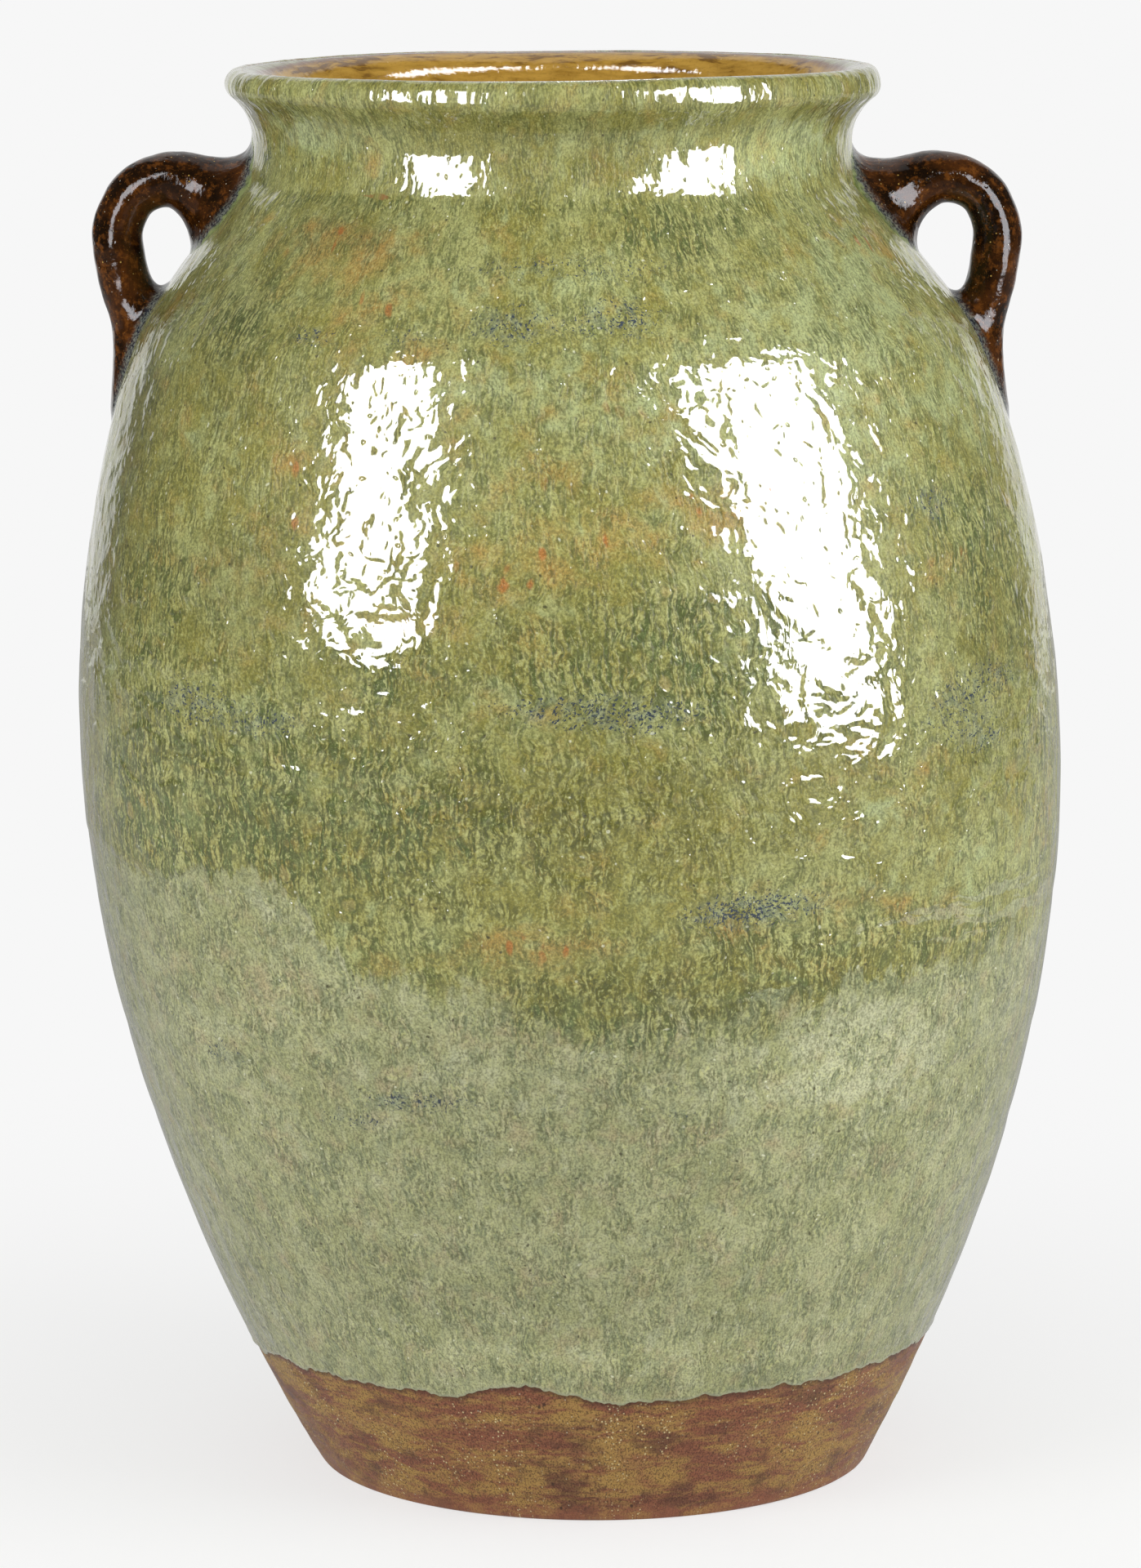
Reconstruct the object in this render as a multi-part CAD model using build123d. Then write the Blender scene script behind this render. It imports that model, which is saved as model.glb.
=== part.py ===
from build123d import *
import os
from math import acos, asin, atan2, cos, hypot, pi, radians, sin, sqrt, tau

# Martaban storage jar in stoneware: luted sections, two ear handles, and fused glaze coats.
# Millimetres. +Z is up, +X is to the right seen from the front, and the front faces -Y.
# The origin is on the standing face, under the middle of the belly.
# Profile sizes are radius and height on the glazed surface, about the jar's own axis.

# Outside form. A drop is measured down from the lip, except the lower wall's, which is
# measured down from the belly, and an inset is measured in from the belly
jar_height = 560.0
belly_radius = 196.0
belly_drop = 267.0
lower_wall_drop = 111.7
shoulder_turn_drop = 108.3
shoulder_turn_inset = 28.05
throat_inset = 77.8

# Arcs that make up the outside profile, from the foot to the lip
foot_edge_arc = 3.5
foot_edge_trim = 0.5
lower_wall_arc = 705.0
lower_belly_arc = 485.0
shoulder_turn_arc = 60.0
neck_foot_arc = 30.0
flare_arc = 23.6
flare_turn = 51.0

# The jar leans a little: its rim stands this far to the left of its foot
lean_offset = 17.6

# Wall, floor and coats
wall_thickness = 11.8
floor_thickness = 15.0
floor_corner_arc = 26.0
glaze_thickness = 1.0
second_dip_step = 0.4

# Straight bore inside the neck, where a lid or a stopper would sit
mouth_bore_length = 19.0

# Luted seams between the sections, each with a V ridge that fits a V groove. The upper two
# are measured down from the lip
base_seam_height = 8.5
neck_seam_drop = 46.0
rim_seam_drop = 17.0
ridge_height = 4.0
ridge_width = 4.6

# Lower edge of the first coat, and how far below the belly the second dip laps over it
foot_line_height = 57.0
foot_line_run = 3.0
dip_line_drop = 43.0
dip_line_run = 34.0
line_stations = 40

# Waves of each edge: turns round the jar, share of the run, and start as a share of a turn
foot_line_wave_shares = ((3, 0.5, 0.25), (8, 0.5, 0.1), (13, 0.4, 0.6))
dip_line_wave_shares = ((3, -0.95, 0.75), (7, 0.2, 0.35), (11, 0.14, 0.55))

# Ear handles, pulled by hand, so the right one is slimmer and leaves more room for a finger.
# The tail ends this far below the turn of the shoulder
left_finger_gap = 16.9
left_handle_thickness = 20.5
right_finger_gap = 20.4
right_handle_thickness = 19.5
handle_tail_drop = 23.7
handle_width = 25.0

# Clay smeared on the shoulder inside each loop, from under the root into the tail
pad_height = 3.4
pad_width = 24.0
pad_start = 5.0
pad_overlap = 9.0

# Stations of a handle from its root to its tail: share of the way along the chord between
# its two ends, share of its stand off that chord, and shares of its thickness and width
handle_station_shares = (
    (0.086, -0.30, 1.45, 1.30),
    (0.079, 0.29, 1.30, 1.20),
    (0.120, 0.74, 1.06, 1.05),
    (0.239, 1.00, 0.97, 1.00),
    (0.395, 0.96, 0.98, 1.00),
    (0.534, 0.68, 0.98, 1.00),
    (0.662, 0.34, 0.92, 1.00),
    (0.806, 0.08, 0.75, 0.86),
    (0.969, -0.14, 0.50, 0.60),
)

# Spare length of the shapes that cut right through
overrun = 40.0

# The leaning sections are turned in quarters that meet on the diagonals
quarter_turn = 90
quarter_start = 45

# Heights and the throat, from the drops and insets
belly_height = jar_height - belly_drop
shoulder_turn_height = jar_height - shoulder_turn_drop
neck_seam_height = jar_height - neck_seam_drop
rim_seam_height = jar_height - rim_seam_drop
handle_tail_height = shoulder_turn_height - handle_tail_drop
dip_line_height = belly_height - dip_line_drop
throat_radius = belly_radius - throat_inset

# The upper belly is upright at the belly and comes in to the turn of the shoulder
upper_belly_rise = belly_drop - shoulder_turn_drop
upper_belly_arc = (upper_belly_rise**2 + shoulder_turn_inset**2) / (2 * shoulder_turn_inset)

# Outward normals where the arcs meet, as angles above level
level = 0.0
upright = pi / 2
lower_wall_join = -asin(lower_wall_drop / lower_belly_arc)
shoulder_turn_join = asin(upper_belly_rise / upper_belly_arc)
flare_join = -radians(flare_turn)


def from_centre(centre, radius, angle):
    """Point at a radius from a centre, in the direction of an angle."""
    return (centre[0] + radius * cos(angle), centre[1] + radius * sin(angle))


def radius_at(centre, arc, height):
    """Distance from the jar's axis of an arc of the profile at a height."""
    across = sqrt(arc**2 - (height - centre[1]) ** 2)
    return centre[0] + (across if arc > 0 else -across)


# Centres of the outside arcs, each on the normal that it shares with its neighbour
lip_radius = wall_thickness / 2
lower_belly_centre = (belly_radius - lower_belly_arc, belly_height)
upper_belly_centre = (belly_radius - upper_belly_arc, belly_height)
lower_wall_centre = from_centre(lower_belly_centre, lower_belly_arc - lower_wall_arc, lower_wall_join)
shoulder_turn_centre = from_centre(
    upper_belly_centre, upper_belly_arc - shoulder_turn_arc, shoulder_turn_join
)
throat_height = jar_height - lip_radius + (flare_arc + lip_radius) * sin(flare_join)
neck_foot_centre = (throat_radius + neck_foot_arc, throat_height)
flare_centre = (throat_radius + flare_arc, throat_height)
lip_centre = from_centre(flare_centre, -(flare_arc + lip_radius), flare_join)

# Foot edge, rounded on the bare clay and cut off level at the standing face
foot_edge_height = foot_edge_arc - foot_edge_trim
foot_edge_reach = lower_wall_arc - glaze_thickness - foot_edge_arc
foot_join = asin((foot_edge_height - lower_wall_centre[1]) / foot_edge_reach)
foot_edge_centre = from_centre(lower_wall_centre, foot_edge_reach, foot_join)

# The straight shoulder touches the shoulder turn below it and the neck foot above it
centre_run = neck_foot_centre[0] - shoulder_turn_centre[0]
centre_rise = neck_foot_centre[1] - shoulder_turn_centre[1]
shoulder_join = atan2(centre_rise, centre_run) - acos(
    (shoulder_turn_arc + neck_foot_arc) / hypot(centre_run, centre_rise)
)

# Inside of the neck: a straight bore, a flare to the lip and a foot that meets the shoulder
bore_radius = throat_radius - wall_thickness
bore_top = throat_height + mouth_bore_length / 2
bore_bottom = throat_height - mouth_bore_length / 2
lip_run = lip_centre[0] - bore_radius
lip_rise = lip_centre[1] - bore_top
inner_flare_arc = (lip_run**2 + lip_rise**2 - lip_radius**2) / (lip_run - lip_radius) / 2
inner_flare_centre = (bore_radius + inner_flare_arc, bore_top)
inner_flare_join = atan2(lip_rise, lip_run - inner_flare_arc)
shoulder_reach = (
    shoulder_turn_centre[0] * cos(shoulder_join)
    + shoulder_turn_centre[1] * sin(shoulder_join)
    + shoulder_turn_arc
    - wall_thickness
)
bore_foot_reach = bore_radius * cos(shoulder_join) + bore_bottom * sin(shoulder_join)
inner_foot_arc = (bore_foot_reach - shoulder_reach) / (1 - cos(shoulder_join))
inner_foot_centre = (bore_radius + inner_foot_arc, bore_bottom)

# Inside corner between the wall and the floor
inner_wall_arc = lower_wall_arc - wall_thickness
corner_height = floor_thickness + floor_corner_arc
corner_join = asin((corner_height - lower_wall_centre[1]) / (inner_wall_arc - floor_corner_arc))
corner_centre = from_centre(lower_wall_centre, inner_wall_arc - floor_corner_arc, corner_join)

# Middle of the wall at each seam
middle = wall_thickness / 2
base_seam_radius = radius_at(lower_wall_centre, lower_wall_arc - middle, base_seam_height)
belly_seam_radius = belly_radius - middle
neck_seam_radius = neck_foot_centre[0] - sqrt(
    (neck_foot_arc + middle) ** 2 - (neck_seam_height - neck_foot_centre[1]) ** 2
)
rim_seam_radius = flare_centre[0] - sqrt(
    (flare_arc + middle) ** 2 - (rim_seam_height - flare_centre[1]) ** 2
)

# Lean as sideways travel for each unit of height
lean = lean_offset / jar_height


def upright_arc(centre, radius, first, last):
    """Arc about a centre in the XZ plane, between two directions."""
    bearings = (first, (first + last) / 2, last)
    return ThreePointArc(*[(r, 0, z) for r, z in (from_centre(centre, radius, b) for b in bearings)])


def linked(edges):
    """The edges in order, with a straight edge wherever one ends short of the next."""
    run = []
    for edge in edges:
        if run and (run[-1] @ 1 - edge @ 0).length > glaze_thickness / 100:
            run.append(Line(run[-1] @ 1, edge @ 0))
        run.append(edge)
    return run


def outside_edges(inset):
    """Outside profile from the foot over the lip to its inner edge, set into the wall."""
    foot_arc = foot_edge_arc + glaze_thickness - inset
    return linked(
        [
            upright_arc(foot_edge_centre, foot_arc, -upright, foot_join),
            upright_arc(lower_wall_centre, lower_wall_arc - inset, foot_join, lower_wall_join),
            upright_arc(lower_belly_centre, lower_belly_arc - inset, lower_wall_join, level),
            upright_arc(upper_belly_centre, upper_belly_arc - inset, level, shoulder_turn_join),
            upright_arc(
                shoulder_turn_centre, shoulder_turn_arc - inset, shoulder_turn_join, shoulder_join
            ),
            upright_arc(neck_foot_centre, -neck_foot_arc - inset, shoulder_join, level),
            upright_arc(flare_centre, -flare_arc - inset, level, flare_join),
            upright_arc(lip_centre, lip_radius - inset, flare_join, inner_flare_join),
        ]
    )


def inside_edges(inset):
    """Inside profile from the inner edge of the lip to the middle of the floor, set into the wall."""
    depth = wall_thickness - inset
    edges = linked(
        [
            upright_arc(inner_flare_centre, inner_flare_arc - inset, inner_flare_join, pi),
            upright_arc(inner_foot_centre, inset - inner_foot_arc, level, shoulder_join),
            upright_arc(
                shoulder_turn_centre, shoulder_turn_arc - depth, shoulder_join, shoulder_turn_join
            ),
            upright_arc(upper_belly_centre, upper_belly_arc - depth, shoulder_turn_join, level),
            upright_arc(lower_belly_centre, lower_belly_arc - depth, level, lower_wall_join),
            upright_arc(lower_wall_centre, lower_wall_arc - depth, lower_wall_join, corner_join),
            upright_arc(corner_centre, floor_corner_arc + inset, corner_join, -upright),
        ]
    )
    floor_edge = edges[-1] @ 1
    return edges + [Line(floor_edge, (0, 0, floor_edge.Z))]


def closed_face(edges):
    """Flat face inside a run of edges, closed by a straight edge from its end to its start."""
    return make_face(edges + [Line(edges[-1] @ 1, edges[0] @ 0)])


def clay_face():
    """Half section of the bare clay, from the axis to the outside."""
    outside = outside_edges(glaze_thickness)
    inside = inside_edges(glaze_thickness)
    foot = outside[0] @ 0
    return closed_face([Line((0, 0, foot.Z), foot)] + outside + inside)


def core_face():
    """Half section of the jar filled solid up to the lip."""
    outside = outside_edges(glaze_thickness)
    foot = outside[0] @ 0
    lip = outside[-1] @ 1
    return closed_face([Line((0, 0, foot.Z), foot)] + outside + [Line(lip, (0, 0, lip.Z))])


def band(low, high):
    """Flat face from the axis past the wall, between two seam lines given by their points."""
    points = [(r, 0, z) for r, z in low] + [(r, 0, z) for r, z in reversed(high)]
    return make_face(Polyline(*points, close=True))


def seam_line(height, seam_radius):
    """Level seam with a V ridge that points down in the middle of the wall."""
    return [
        (0, height),
        (seam_radius - ridge_width / 2, height),
        (seam_radius, height - ridge_height),
        (seam_radius + ridge_width / 2, height),
        (belly_radius + overrun, height),
    ]


def base_seam_line():
    """Seam round the base slab, whose raised middle fills the floor inside the wall."""
    rise = floor_thickness + overrun
    shoulder = [(0, rise), (corner_centre[0], rise), (corner_centre[0], base_seam_height)]
    return shoulder + seam_line(base_seam_height, base_seam_radius)[1:]


def level_line(height):
    """Plain level line across the half section."""
    return [(0, height), (belly_radius + overrun, height)]


def leaning(solid):
    """Solid with every level slice moved sideways by the lean."""
    slide = Matrix([[1, 0, -lean, lean * belly_height], [0, 1, 0, 0], [0, 0, 1, 0]])
    return Part() + solid.solid().transform_geometry(slide)


def leaning_ring(face):
    """Half section turned round the axis in quarters, then leaned."""
    ring = Part()
    for quarter in range(4):
        start = Rot(0, 0, quarter_start + quarter * quarter_turn)
        ring += leaning(start * revolve(face, Axis.Z, quarter_turn))
    return ring


def upright_ring(face):
    """Half section turned round the upright axis of the neck, where the shoulder carries it."""
    return Pos(-lean * (neck_seam_height - belly_height), 0, 0) * revolve(face, Axis.Z)


def wavy_edge(height, run, waves, radius):
    """Closed curve round the jar at a radius, rising and falling by the waves."""
    points = []
    for station in range(line_stations):
        turn = station / line_stations
        rise = sum(share * cos(tau * (count * turn + start)) for count, share, start in waves)
        points.append((radius * cos(tau * turn), radius * sin(tau * turn), height + run * rise))
    return Spline(*points, periodic=True)


def space_below(height, run, waves):
    """Solid ring that fills the space below a wavy edge, past the wall on both sides."""
    inner = wavy_edge(height, run, waves, bore_radius / 2)
    outer = wavy_edge(height, run, waves, belly_radius + overrun)
    return extrude(Face.make_surface_from_curves(inner, outer), height + overrun, dir=(0, 0, -1))


def skin_face(glazed, clay):
    """Half section of a glaze coat, between its own surface and the clay under it."""
    ends = [Line(glazed[-1] @ 1, clay[-1] @ 1), Line(glazed[0] @ 0, clay[0] @ 0)]
    return make_face(glazed + clay + ends)


def between(face, low, high):
    """The part of a half section between two seam lines."""
    return face & band(low, high)


def handle_chord():
    """Both ends of a handle on the shoulder, as (radius, height), root first."""
    root = from_centre(neck_foot_centre, -neck_foot_arc, shoulder_join)
    tail_radius = radius_at(upper_belly_centre, upper_belly_arc, handle_tail_height)
    return root, (tail_radius, handle_tail_height)


def shoulder_bulge(root, outward):
    """How far the shoulder stands out past the chord that starts at the root."""
    centre, arc = shoulder_turn_centre, shoulder_turn_arc
    if outward < shoulder_turn_join:
        centre, arc = upper_belly_centre, upper_belly_arc
    crown = from_centre(centre, arc, outward)
    return (crown[0] - root[0]) * cos(outward) + (crown[1] - root[1]) * sin(outward)


def handle_loop(finger_gap, thickness):
    """Pulled coil of a right-hand handle, lofted through oval sections."""
    root, tail = handle_chord()
    length = hypot(tail[0] - root[0], tail[1] - root[1])
    along = ((tail[0] - root[0]) / length, (tail[1] - root[1]) / length)
    stand = shoulder_bulge(root, atan2(along[0], -along[1])) + finger_gap + thickness / 2
    points = []
    for way, off, _, _ in handle_station_shares:
        points.append(
            (
                root[0] + way * length * along[0] - off * stand * along[1],
                0,
                root[1] + way * length * along[1] + off * stand * along[0],
            )
        )
    last = len(points) - 1
    path = Edge.make_spline(points, parameters=[station / last for station in range(last + 1)])
    sections = []
    for station, (_, _, thick, wide) in enumerate(handle_station_shares):
        place = path @ (station / last)
        square = Plane(origin=place, x_dir=(0, 1, 0), z_dir=path % (station / last))
        oval = Ellipse(wide * handle_width / 2, thick * thickness / 2)
        sections.append(square * oval)
    return loft(sections)


def handle_pad():
    """Clay smeared on the shoulder between the root and the tail of a handle."""
    high = from_centre(neck_foot_centre, -neck_foot_arc, shoulder_join)
    low = from_centre(shoulder_turn_centre, shoulder_turn_arc, shoulder_join)
    reach = hypot(low[0] - high[0], low[1] - high[1])
    slope = Plane(
        origin=(high[0], 0, high[1]), x_dir=(0, 1, 0), z_dir=(low[0] - high[0], 0, low[1] - high[1])
    )
    smear = slope.offset(pad_start) * Ellipse(pad_width / 2, pad_height)
    return extrude(smear, reach - pad_start + pad_overlap)


def seated(coil):
    """Handle leaned with the shoulder and cut to seat on its bare clay."""
    shoulder = leaning_ring(between(core_face(), level_line(belly_height), neck_level))
    throat = upright_ring(between(core_face(), neck_level, top_level))
    return leaning(coil) - shoulder - throat


floor_level = level_line(-overrun)
neck_level = level_line(neck_seam_height)
top_level = level_line(jar_height + overrun)
belly_seam = seam_line(belly_height, belly_seam_radius)
neck_seam = seam_line(neck_seam_height, neck_seam_radius)
rim_seam = seam_line(rim_seam_height, rim_seam_radius)

clay = clay_face()
standing_cut = Pos(0, 0, -overrun / 2) * Box(4 * belly_radius, 4 * belly_radius, overrun)
base_slab = leaning_ring(between(clay, floor_level, base_seam_line())) - standing_cut
lower_body = leaning_ring(between(clay, base_seam_line(), belly_seam))
neck = upright_ring(between(clay, neck_seam, rim_seam))
rim = upright_ring(between(clay, rim_seam, top_level))
upper_body = leaning_ring(between(clay, belly_seam, neck_level)) - neck
left_coil = handle_loop(left_finger_gap, left_handle_thickness) + handle_pad()
right_coil = handle_loop(right_finger_gap, right_handle_thickness) + handle_pad()
left_handle = seated(mirror(left_coil, Plane.YZ))
right_handle = seated(right_coil)

foot_space = space_below(foot_line_height, foot_line_run, foot_line_wave_shares)
dip_space = space_below(dip_line_height, dip_line_run, dip_line_wave_shares)
first_skin = skin_face(outside_edges(second_dip_step), outside_edges(glaze_thickness))
second_skin = skin_face(outside_edges(0), outside_edges(glaze_thickness))
inner_skin = skin_face(inside_edges(0), inside_edges(glaze_thickness))
foot_level = level_line(foot_line_height - 2 * foot_line_run)
dip_low_level = level_line(dip_line_height - 2 * dip_line_run)
dip_high_level = level_line(dip_line_height + 2 * dip_line_run)

first_glaze = leaning_ring(between(first_skin, foot_level, dip_high_level)) & dip_space
first_glaze -= foot_space
second_glaze = leaning_ring(between(second_skin, dip_low_level, neck_level)) - dip_space
second_glaze += upright_ring(between(second_skin, neck_level, top_level))
second_glaze = second_glaze - right_handle - left_handle
inner_glaze = leaning_ring(between(inner_skin, floor_level, neck_level))
inner_glaze += upright_ring(between(inner_skin, neck_level, top_level))

nodes = {
    "base_slab": base_slab,
    "lower_body": lower_body,
    "upper_body": upper_body,
    "neck": neck,
    "rim": rim,
    "left_handle": left_handle,
    "right_handle": right_handle,
    "first_glaze": first_glaze,
    "second_glaze": second_glaze,
    "inner_glaze": inner_glaze,
}
os.makedirs("parts", exist_ok=True)
for name, solid in nodes.items():
    export_step(solid, f"parts/{name}.step")
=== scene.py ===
"""Martaban storage jar: the glazed visual model round its CAD frame, with the photograph's camera.

Metres, +Z up, front towards -Y. A place on the jar is given by its turn from the front, positive
to the right, and by its height. Every mesh is worked out from the jar's own profile.
"""

from itertools import product
from math import acos, asin, atan2, cos, hypot, pi, radians, sin, sqrt

import bpy
import numpy as np
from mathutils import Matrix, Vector

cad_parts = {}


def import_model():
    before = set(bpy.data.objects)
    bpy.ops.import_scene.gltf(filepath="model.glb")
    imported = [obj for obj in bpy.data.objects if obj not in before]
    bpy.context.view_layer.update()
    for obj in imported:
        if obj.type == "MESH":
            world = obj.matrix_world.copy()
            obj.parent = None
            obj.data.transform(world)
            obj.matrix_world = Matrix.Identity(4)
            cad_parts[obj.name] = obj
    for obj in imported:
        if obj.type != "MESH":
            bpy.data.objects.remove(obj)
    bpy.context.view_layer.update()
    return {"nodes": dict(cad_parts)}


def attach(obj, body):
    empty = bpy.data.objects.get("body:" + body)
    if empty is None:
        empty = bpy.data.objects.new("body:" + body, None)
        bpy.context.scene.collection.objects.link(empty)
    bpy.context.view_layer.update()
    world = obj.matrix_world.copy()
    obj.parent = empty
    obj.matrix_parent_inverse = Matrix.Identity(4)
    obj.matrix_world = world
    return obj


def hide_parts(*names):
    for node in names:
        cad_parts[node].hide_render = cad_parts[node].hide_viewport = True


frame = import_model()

# Profile of the glazed surface, as the CAD source has it
HEIGHT = 0.560
BELLY_RADIUS = 0.196
BELLY_HEIGHT = 0.293
LOWER_WALL_DROP = 0.1117
SHOULDER_TURN_RISE = 0.1587
SHOULDER_TURN_INSET = 0.02805
THROAT_RADIUS = 0.1182
FOOT_EDGE_ARC = 0.0035
FOOT_EDGE_HEIGHT = 0.003
LOWER_WALL_ARC = 0.705
LOWER_BELLY_ARC = 0.485
SHOULDER_TURN_ARC = 0.060
NECK_FOOT_ARC = 0.030
FLARE_ARC = 0.0236
FLARE_TURN = radians(51)
WALL = 0.0118
FLOOR = 0.015
FLOOR_CORNER_ARC = 0.026
GLAZE = 0.001
DIP_STEP = 0.0004
BORE_LENGTH = 0.019
LEAN = 0.0176 / HEIGHT
UPRIGHT_ABOVE = 0.514

# Ear handles, as the CAD source has them: way along the chord, stand off it, thickness and width as shares
HANDLE_STATION_SHARES = (
    (0.086, -0.30, 1.45, 1.30), (0.079, 0.29, 1.30, 1.20), (0.120, 0.74, 1.06, 1.05),
    (0.239, 1.00, 0.97, 1.00), (0.395, 0.96, 0.98, 1.00), (0.534, 0.68, 0.98, 1.00),
    (0.662, 0.34, 0.92, 1.00), (0.806, 0.08, 0.75, 0.86), (0.969, -0.14, 0.50, 0.60),
)
HANDLE_WIDTH = 0.025
TAIL_HEIGHT = 0.428
LEFT_GAP, LEFT_THICKNESS = 0.0169, 0.0205
RIGHT_GAP, RIGHT_THICKNESS = 0.0204, 0.0195

# Handle meshes: the box that they are worked out in, and how the tube blends into its seat
HANDLE_BOX_LOW = (0.108, -0.034, 0.408)
HANDLE_BOX_PAST = 0.020
SEAT_SINK = 0.0007
SEAT_DEPTH = 0.0030
SEAT_REACH = 0.0165
TAIL_BLEND = 0.0120
ROOT_BLEND = 0.0210

# Girth that the flow coordinates are wrapped on
FLOW_RADIUS = 0.17

# Coats: their hidden backs, the least cover over the clay, the sunk edges, the bead and the lip's start
COAT_BACK = 0.00095
LEAST_COVER = 0.00014
EDGE_SINK = 0.00085
EDGE_ROUND = 0.0011
BEAD_STAND = 0.00035
BEAD_ABOVE_EDGE = 0.0022
BEAD_WIDTH = 0.0016
LIP_START_SINK = 0.00040

# How long the second coat's edge fades: at its crispest, and what the front and the right side add
CRISP_FADE = 0.004
FRONT_FADE = 0.030
SIDE_FADE = 0.012

# Lumps of the fired surface: how far they stand, their size, their stretch up the wall and their seed
LUMPS = ((0.00050, 0.080, 0.8, 21), (0.00026, 0.034, 1, 22), (0.00010, 0.011, 0.7, 23))

# Throwing grooves: height and depth
GROOVES = ((0.143, 0.00030), (0.180, 0.00024), (0.235, 0.00016))
GROOVE_WIDTH = 0.0045
CREASE_HEIGHT = 0.5170
CREASE_WIDTH = 0.0022

# Mesh attributes with three numbers to a point, and the middle of the belly for lamps to look at
VECTORS = ("flow", "place")
JAR_MIDDLE = (0, 0, 0.33)


def off(centre, reach, bearing):
    """Point at a reach from a centre, in the direction of a bearing."""
    return (centre[0] + reach * cos(bearing), centre[1] + reach * sin(bearing))


# Joins and centres of the profile's arcs
LIP = WALL / 2
UPPER_BELLY_ARC = (SHOULDER_TURN_RISE**2 + SHOULDER_TURN_INSET**2) / (2 * SHOULDER_TURN_INSET)
LOWER_WALL_JOIN = -asin(LOWER_WALL_DROP / LOWER_BELLY_ARC)
SHOULDER_TURN_JOIN = asin(SHOULDER_TURN_RISE / UPPER_BELLY_ARC)
lower_belly = (BELLY_RADIUS - LOWER_BELLY_ARC, BELLY_HEIGHT)
upper_belly = (BELLY_RADIUS - UPPER_BELLY_ARC, BELLY_HEIGHT)
lower_wall = off(lower_belly, LOWER_BELLY_ARC - LOWER_WALL_ARC, LOWER_WALL_JOIN)
shoulder_turn = off(upper_belly, UPPER_BELLY_ARC - SHOULDER_TURN_ARC, SHOULDER_TURN_JOIN)
throat_height = HEIGHT - LIP - (FLARE_ARC + LIP) * sin(FLARE_TURN)
neck_foot = (THROAT_RADIUS + NECK_FOOT_ARC, throat_height)
flare = (THROAT_RADIUS + FLARE_ARC, throat_height)
lip = off(flare, -(FLARE_ARC + LIP), -FLARE_TURN)
foot_reach = LOWER_WALL_ARC - GLAZE - FOOT_EDGE_ARC
FOOT_JOIN = asin((FOOT_EDGE_HEIGHT - lower_wall[1]) / foot_reach)
foot_edge = off(lower_wall, foot_reach, FOOT_JOIN)
rise = neck_foot[1] - shoulder_turn[1]
run = neck_foot[0] - shoulder_turn[0]
SHOULDER_JOIN = atan2(rise, run) - acos((SHOULDER_TURN_ARC + NECK_FOOT_ARC) / hypot(run, rise))
BORE_RADIUS = THROAT_RADIUS - WALL
bore_top = throat_height + BORE_LENGTH / 2
bore_bottom = throat_height - BORE_LENGTH / 2
lip_run, lip_rise = lip[0] - BORE_RADIUS, lip[1] - bore_top
INNER_FLARE_ARC = (lip_run**2 + lip_rise**2 - LIP**2) / (lip_run - LIP) / 2
inner_flare = (BORE_RADIUS + INNER_FLARE_ARC, bore_top)
INNER_JOIN = atan2(lip_rise, lip_run - INNER_FLARE_ARC)
shoulder_reach = shoulder_turn[0] * cos(SHOULDER_JOIN) + shoulder_turn[1] * sin(SHOULDER_JOIN)
shoulder_reach += SHOULDER_TURN_ARC - WALL
bore_reach = BORE_RADIUS * cos(SHOULDER_JOIN) + bore_bottom * sin(SHOULDER_JOIN)
INNER_FOOT_ARC = (bore_reach - shoulder_reach) / (1 - cos(SHOULDER_JOIN))
inner_foot = (BORE_RADIUS + INNER_FOOT_ARC, bore_bottom)
INNER_WALL_ARC = LOWER_WALL_ARC - WALL
corner_reach = INNER_WALL_ARC - FLOOR_CORNER_ARC
CORNER_JOIN = asin((FLOOR + FLOOR_CORNER_ARC - lower_wall[1]) / corner_reach)
corner = off(lower_wall, corner_reach, CORNER_JOIN)


def arc(centre, radius, first, last, side=1):
    """Dense arc as rows of radius, height and the normal that points out of the clay."""
    bearing = np.linspace(first, last, 160)
    way = np.c_[np.cos(bearing), np.sin(bearing)]
    return np.c_[np.array(centre) + radius * way, side * way]


class Profile:
    """Half section of a surface by its own length, from rows of radius, height and normal."""

    def __init__(self, *parts):
        rows = np.vstack(parts)
        step = np.hypot(*np.diff(rows[:, :2], axis=0).T)
        self.rows = rows[np.r_[True, step > 1e-7]]
        self.length = np.r_[0, np.cumsum(np.hypot(*np.diff(self.rows[:, :2], axis=0).T))]

    def at(self, s):
        """Radius, height and normal at a length."""
        found = np.stack([np.interp(s, self.length, column) for column in self.rows.T], axis=-1)
        found[..., 2:] /= np.hypot(found[..., 2], found[..., 3])[..., None]
        return found

    def where(self, height):
        """Length at a height, up to the top of the lip."""
        top = int(np.argmax(self.rows[:, 1])) + 1
        return np.interp(height, self.rows[:top, 1], self.length[:top])


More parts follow.
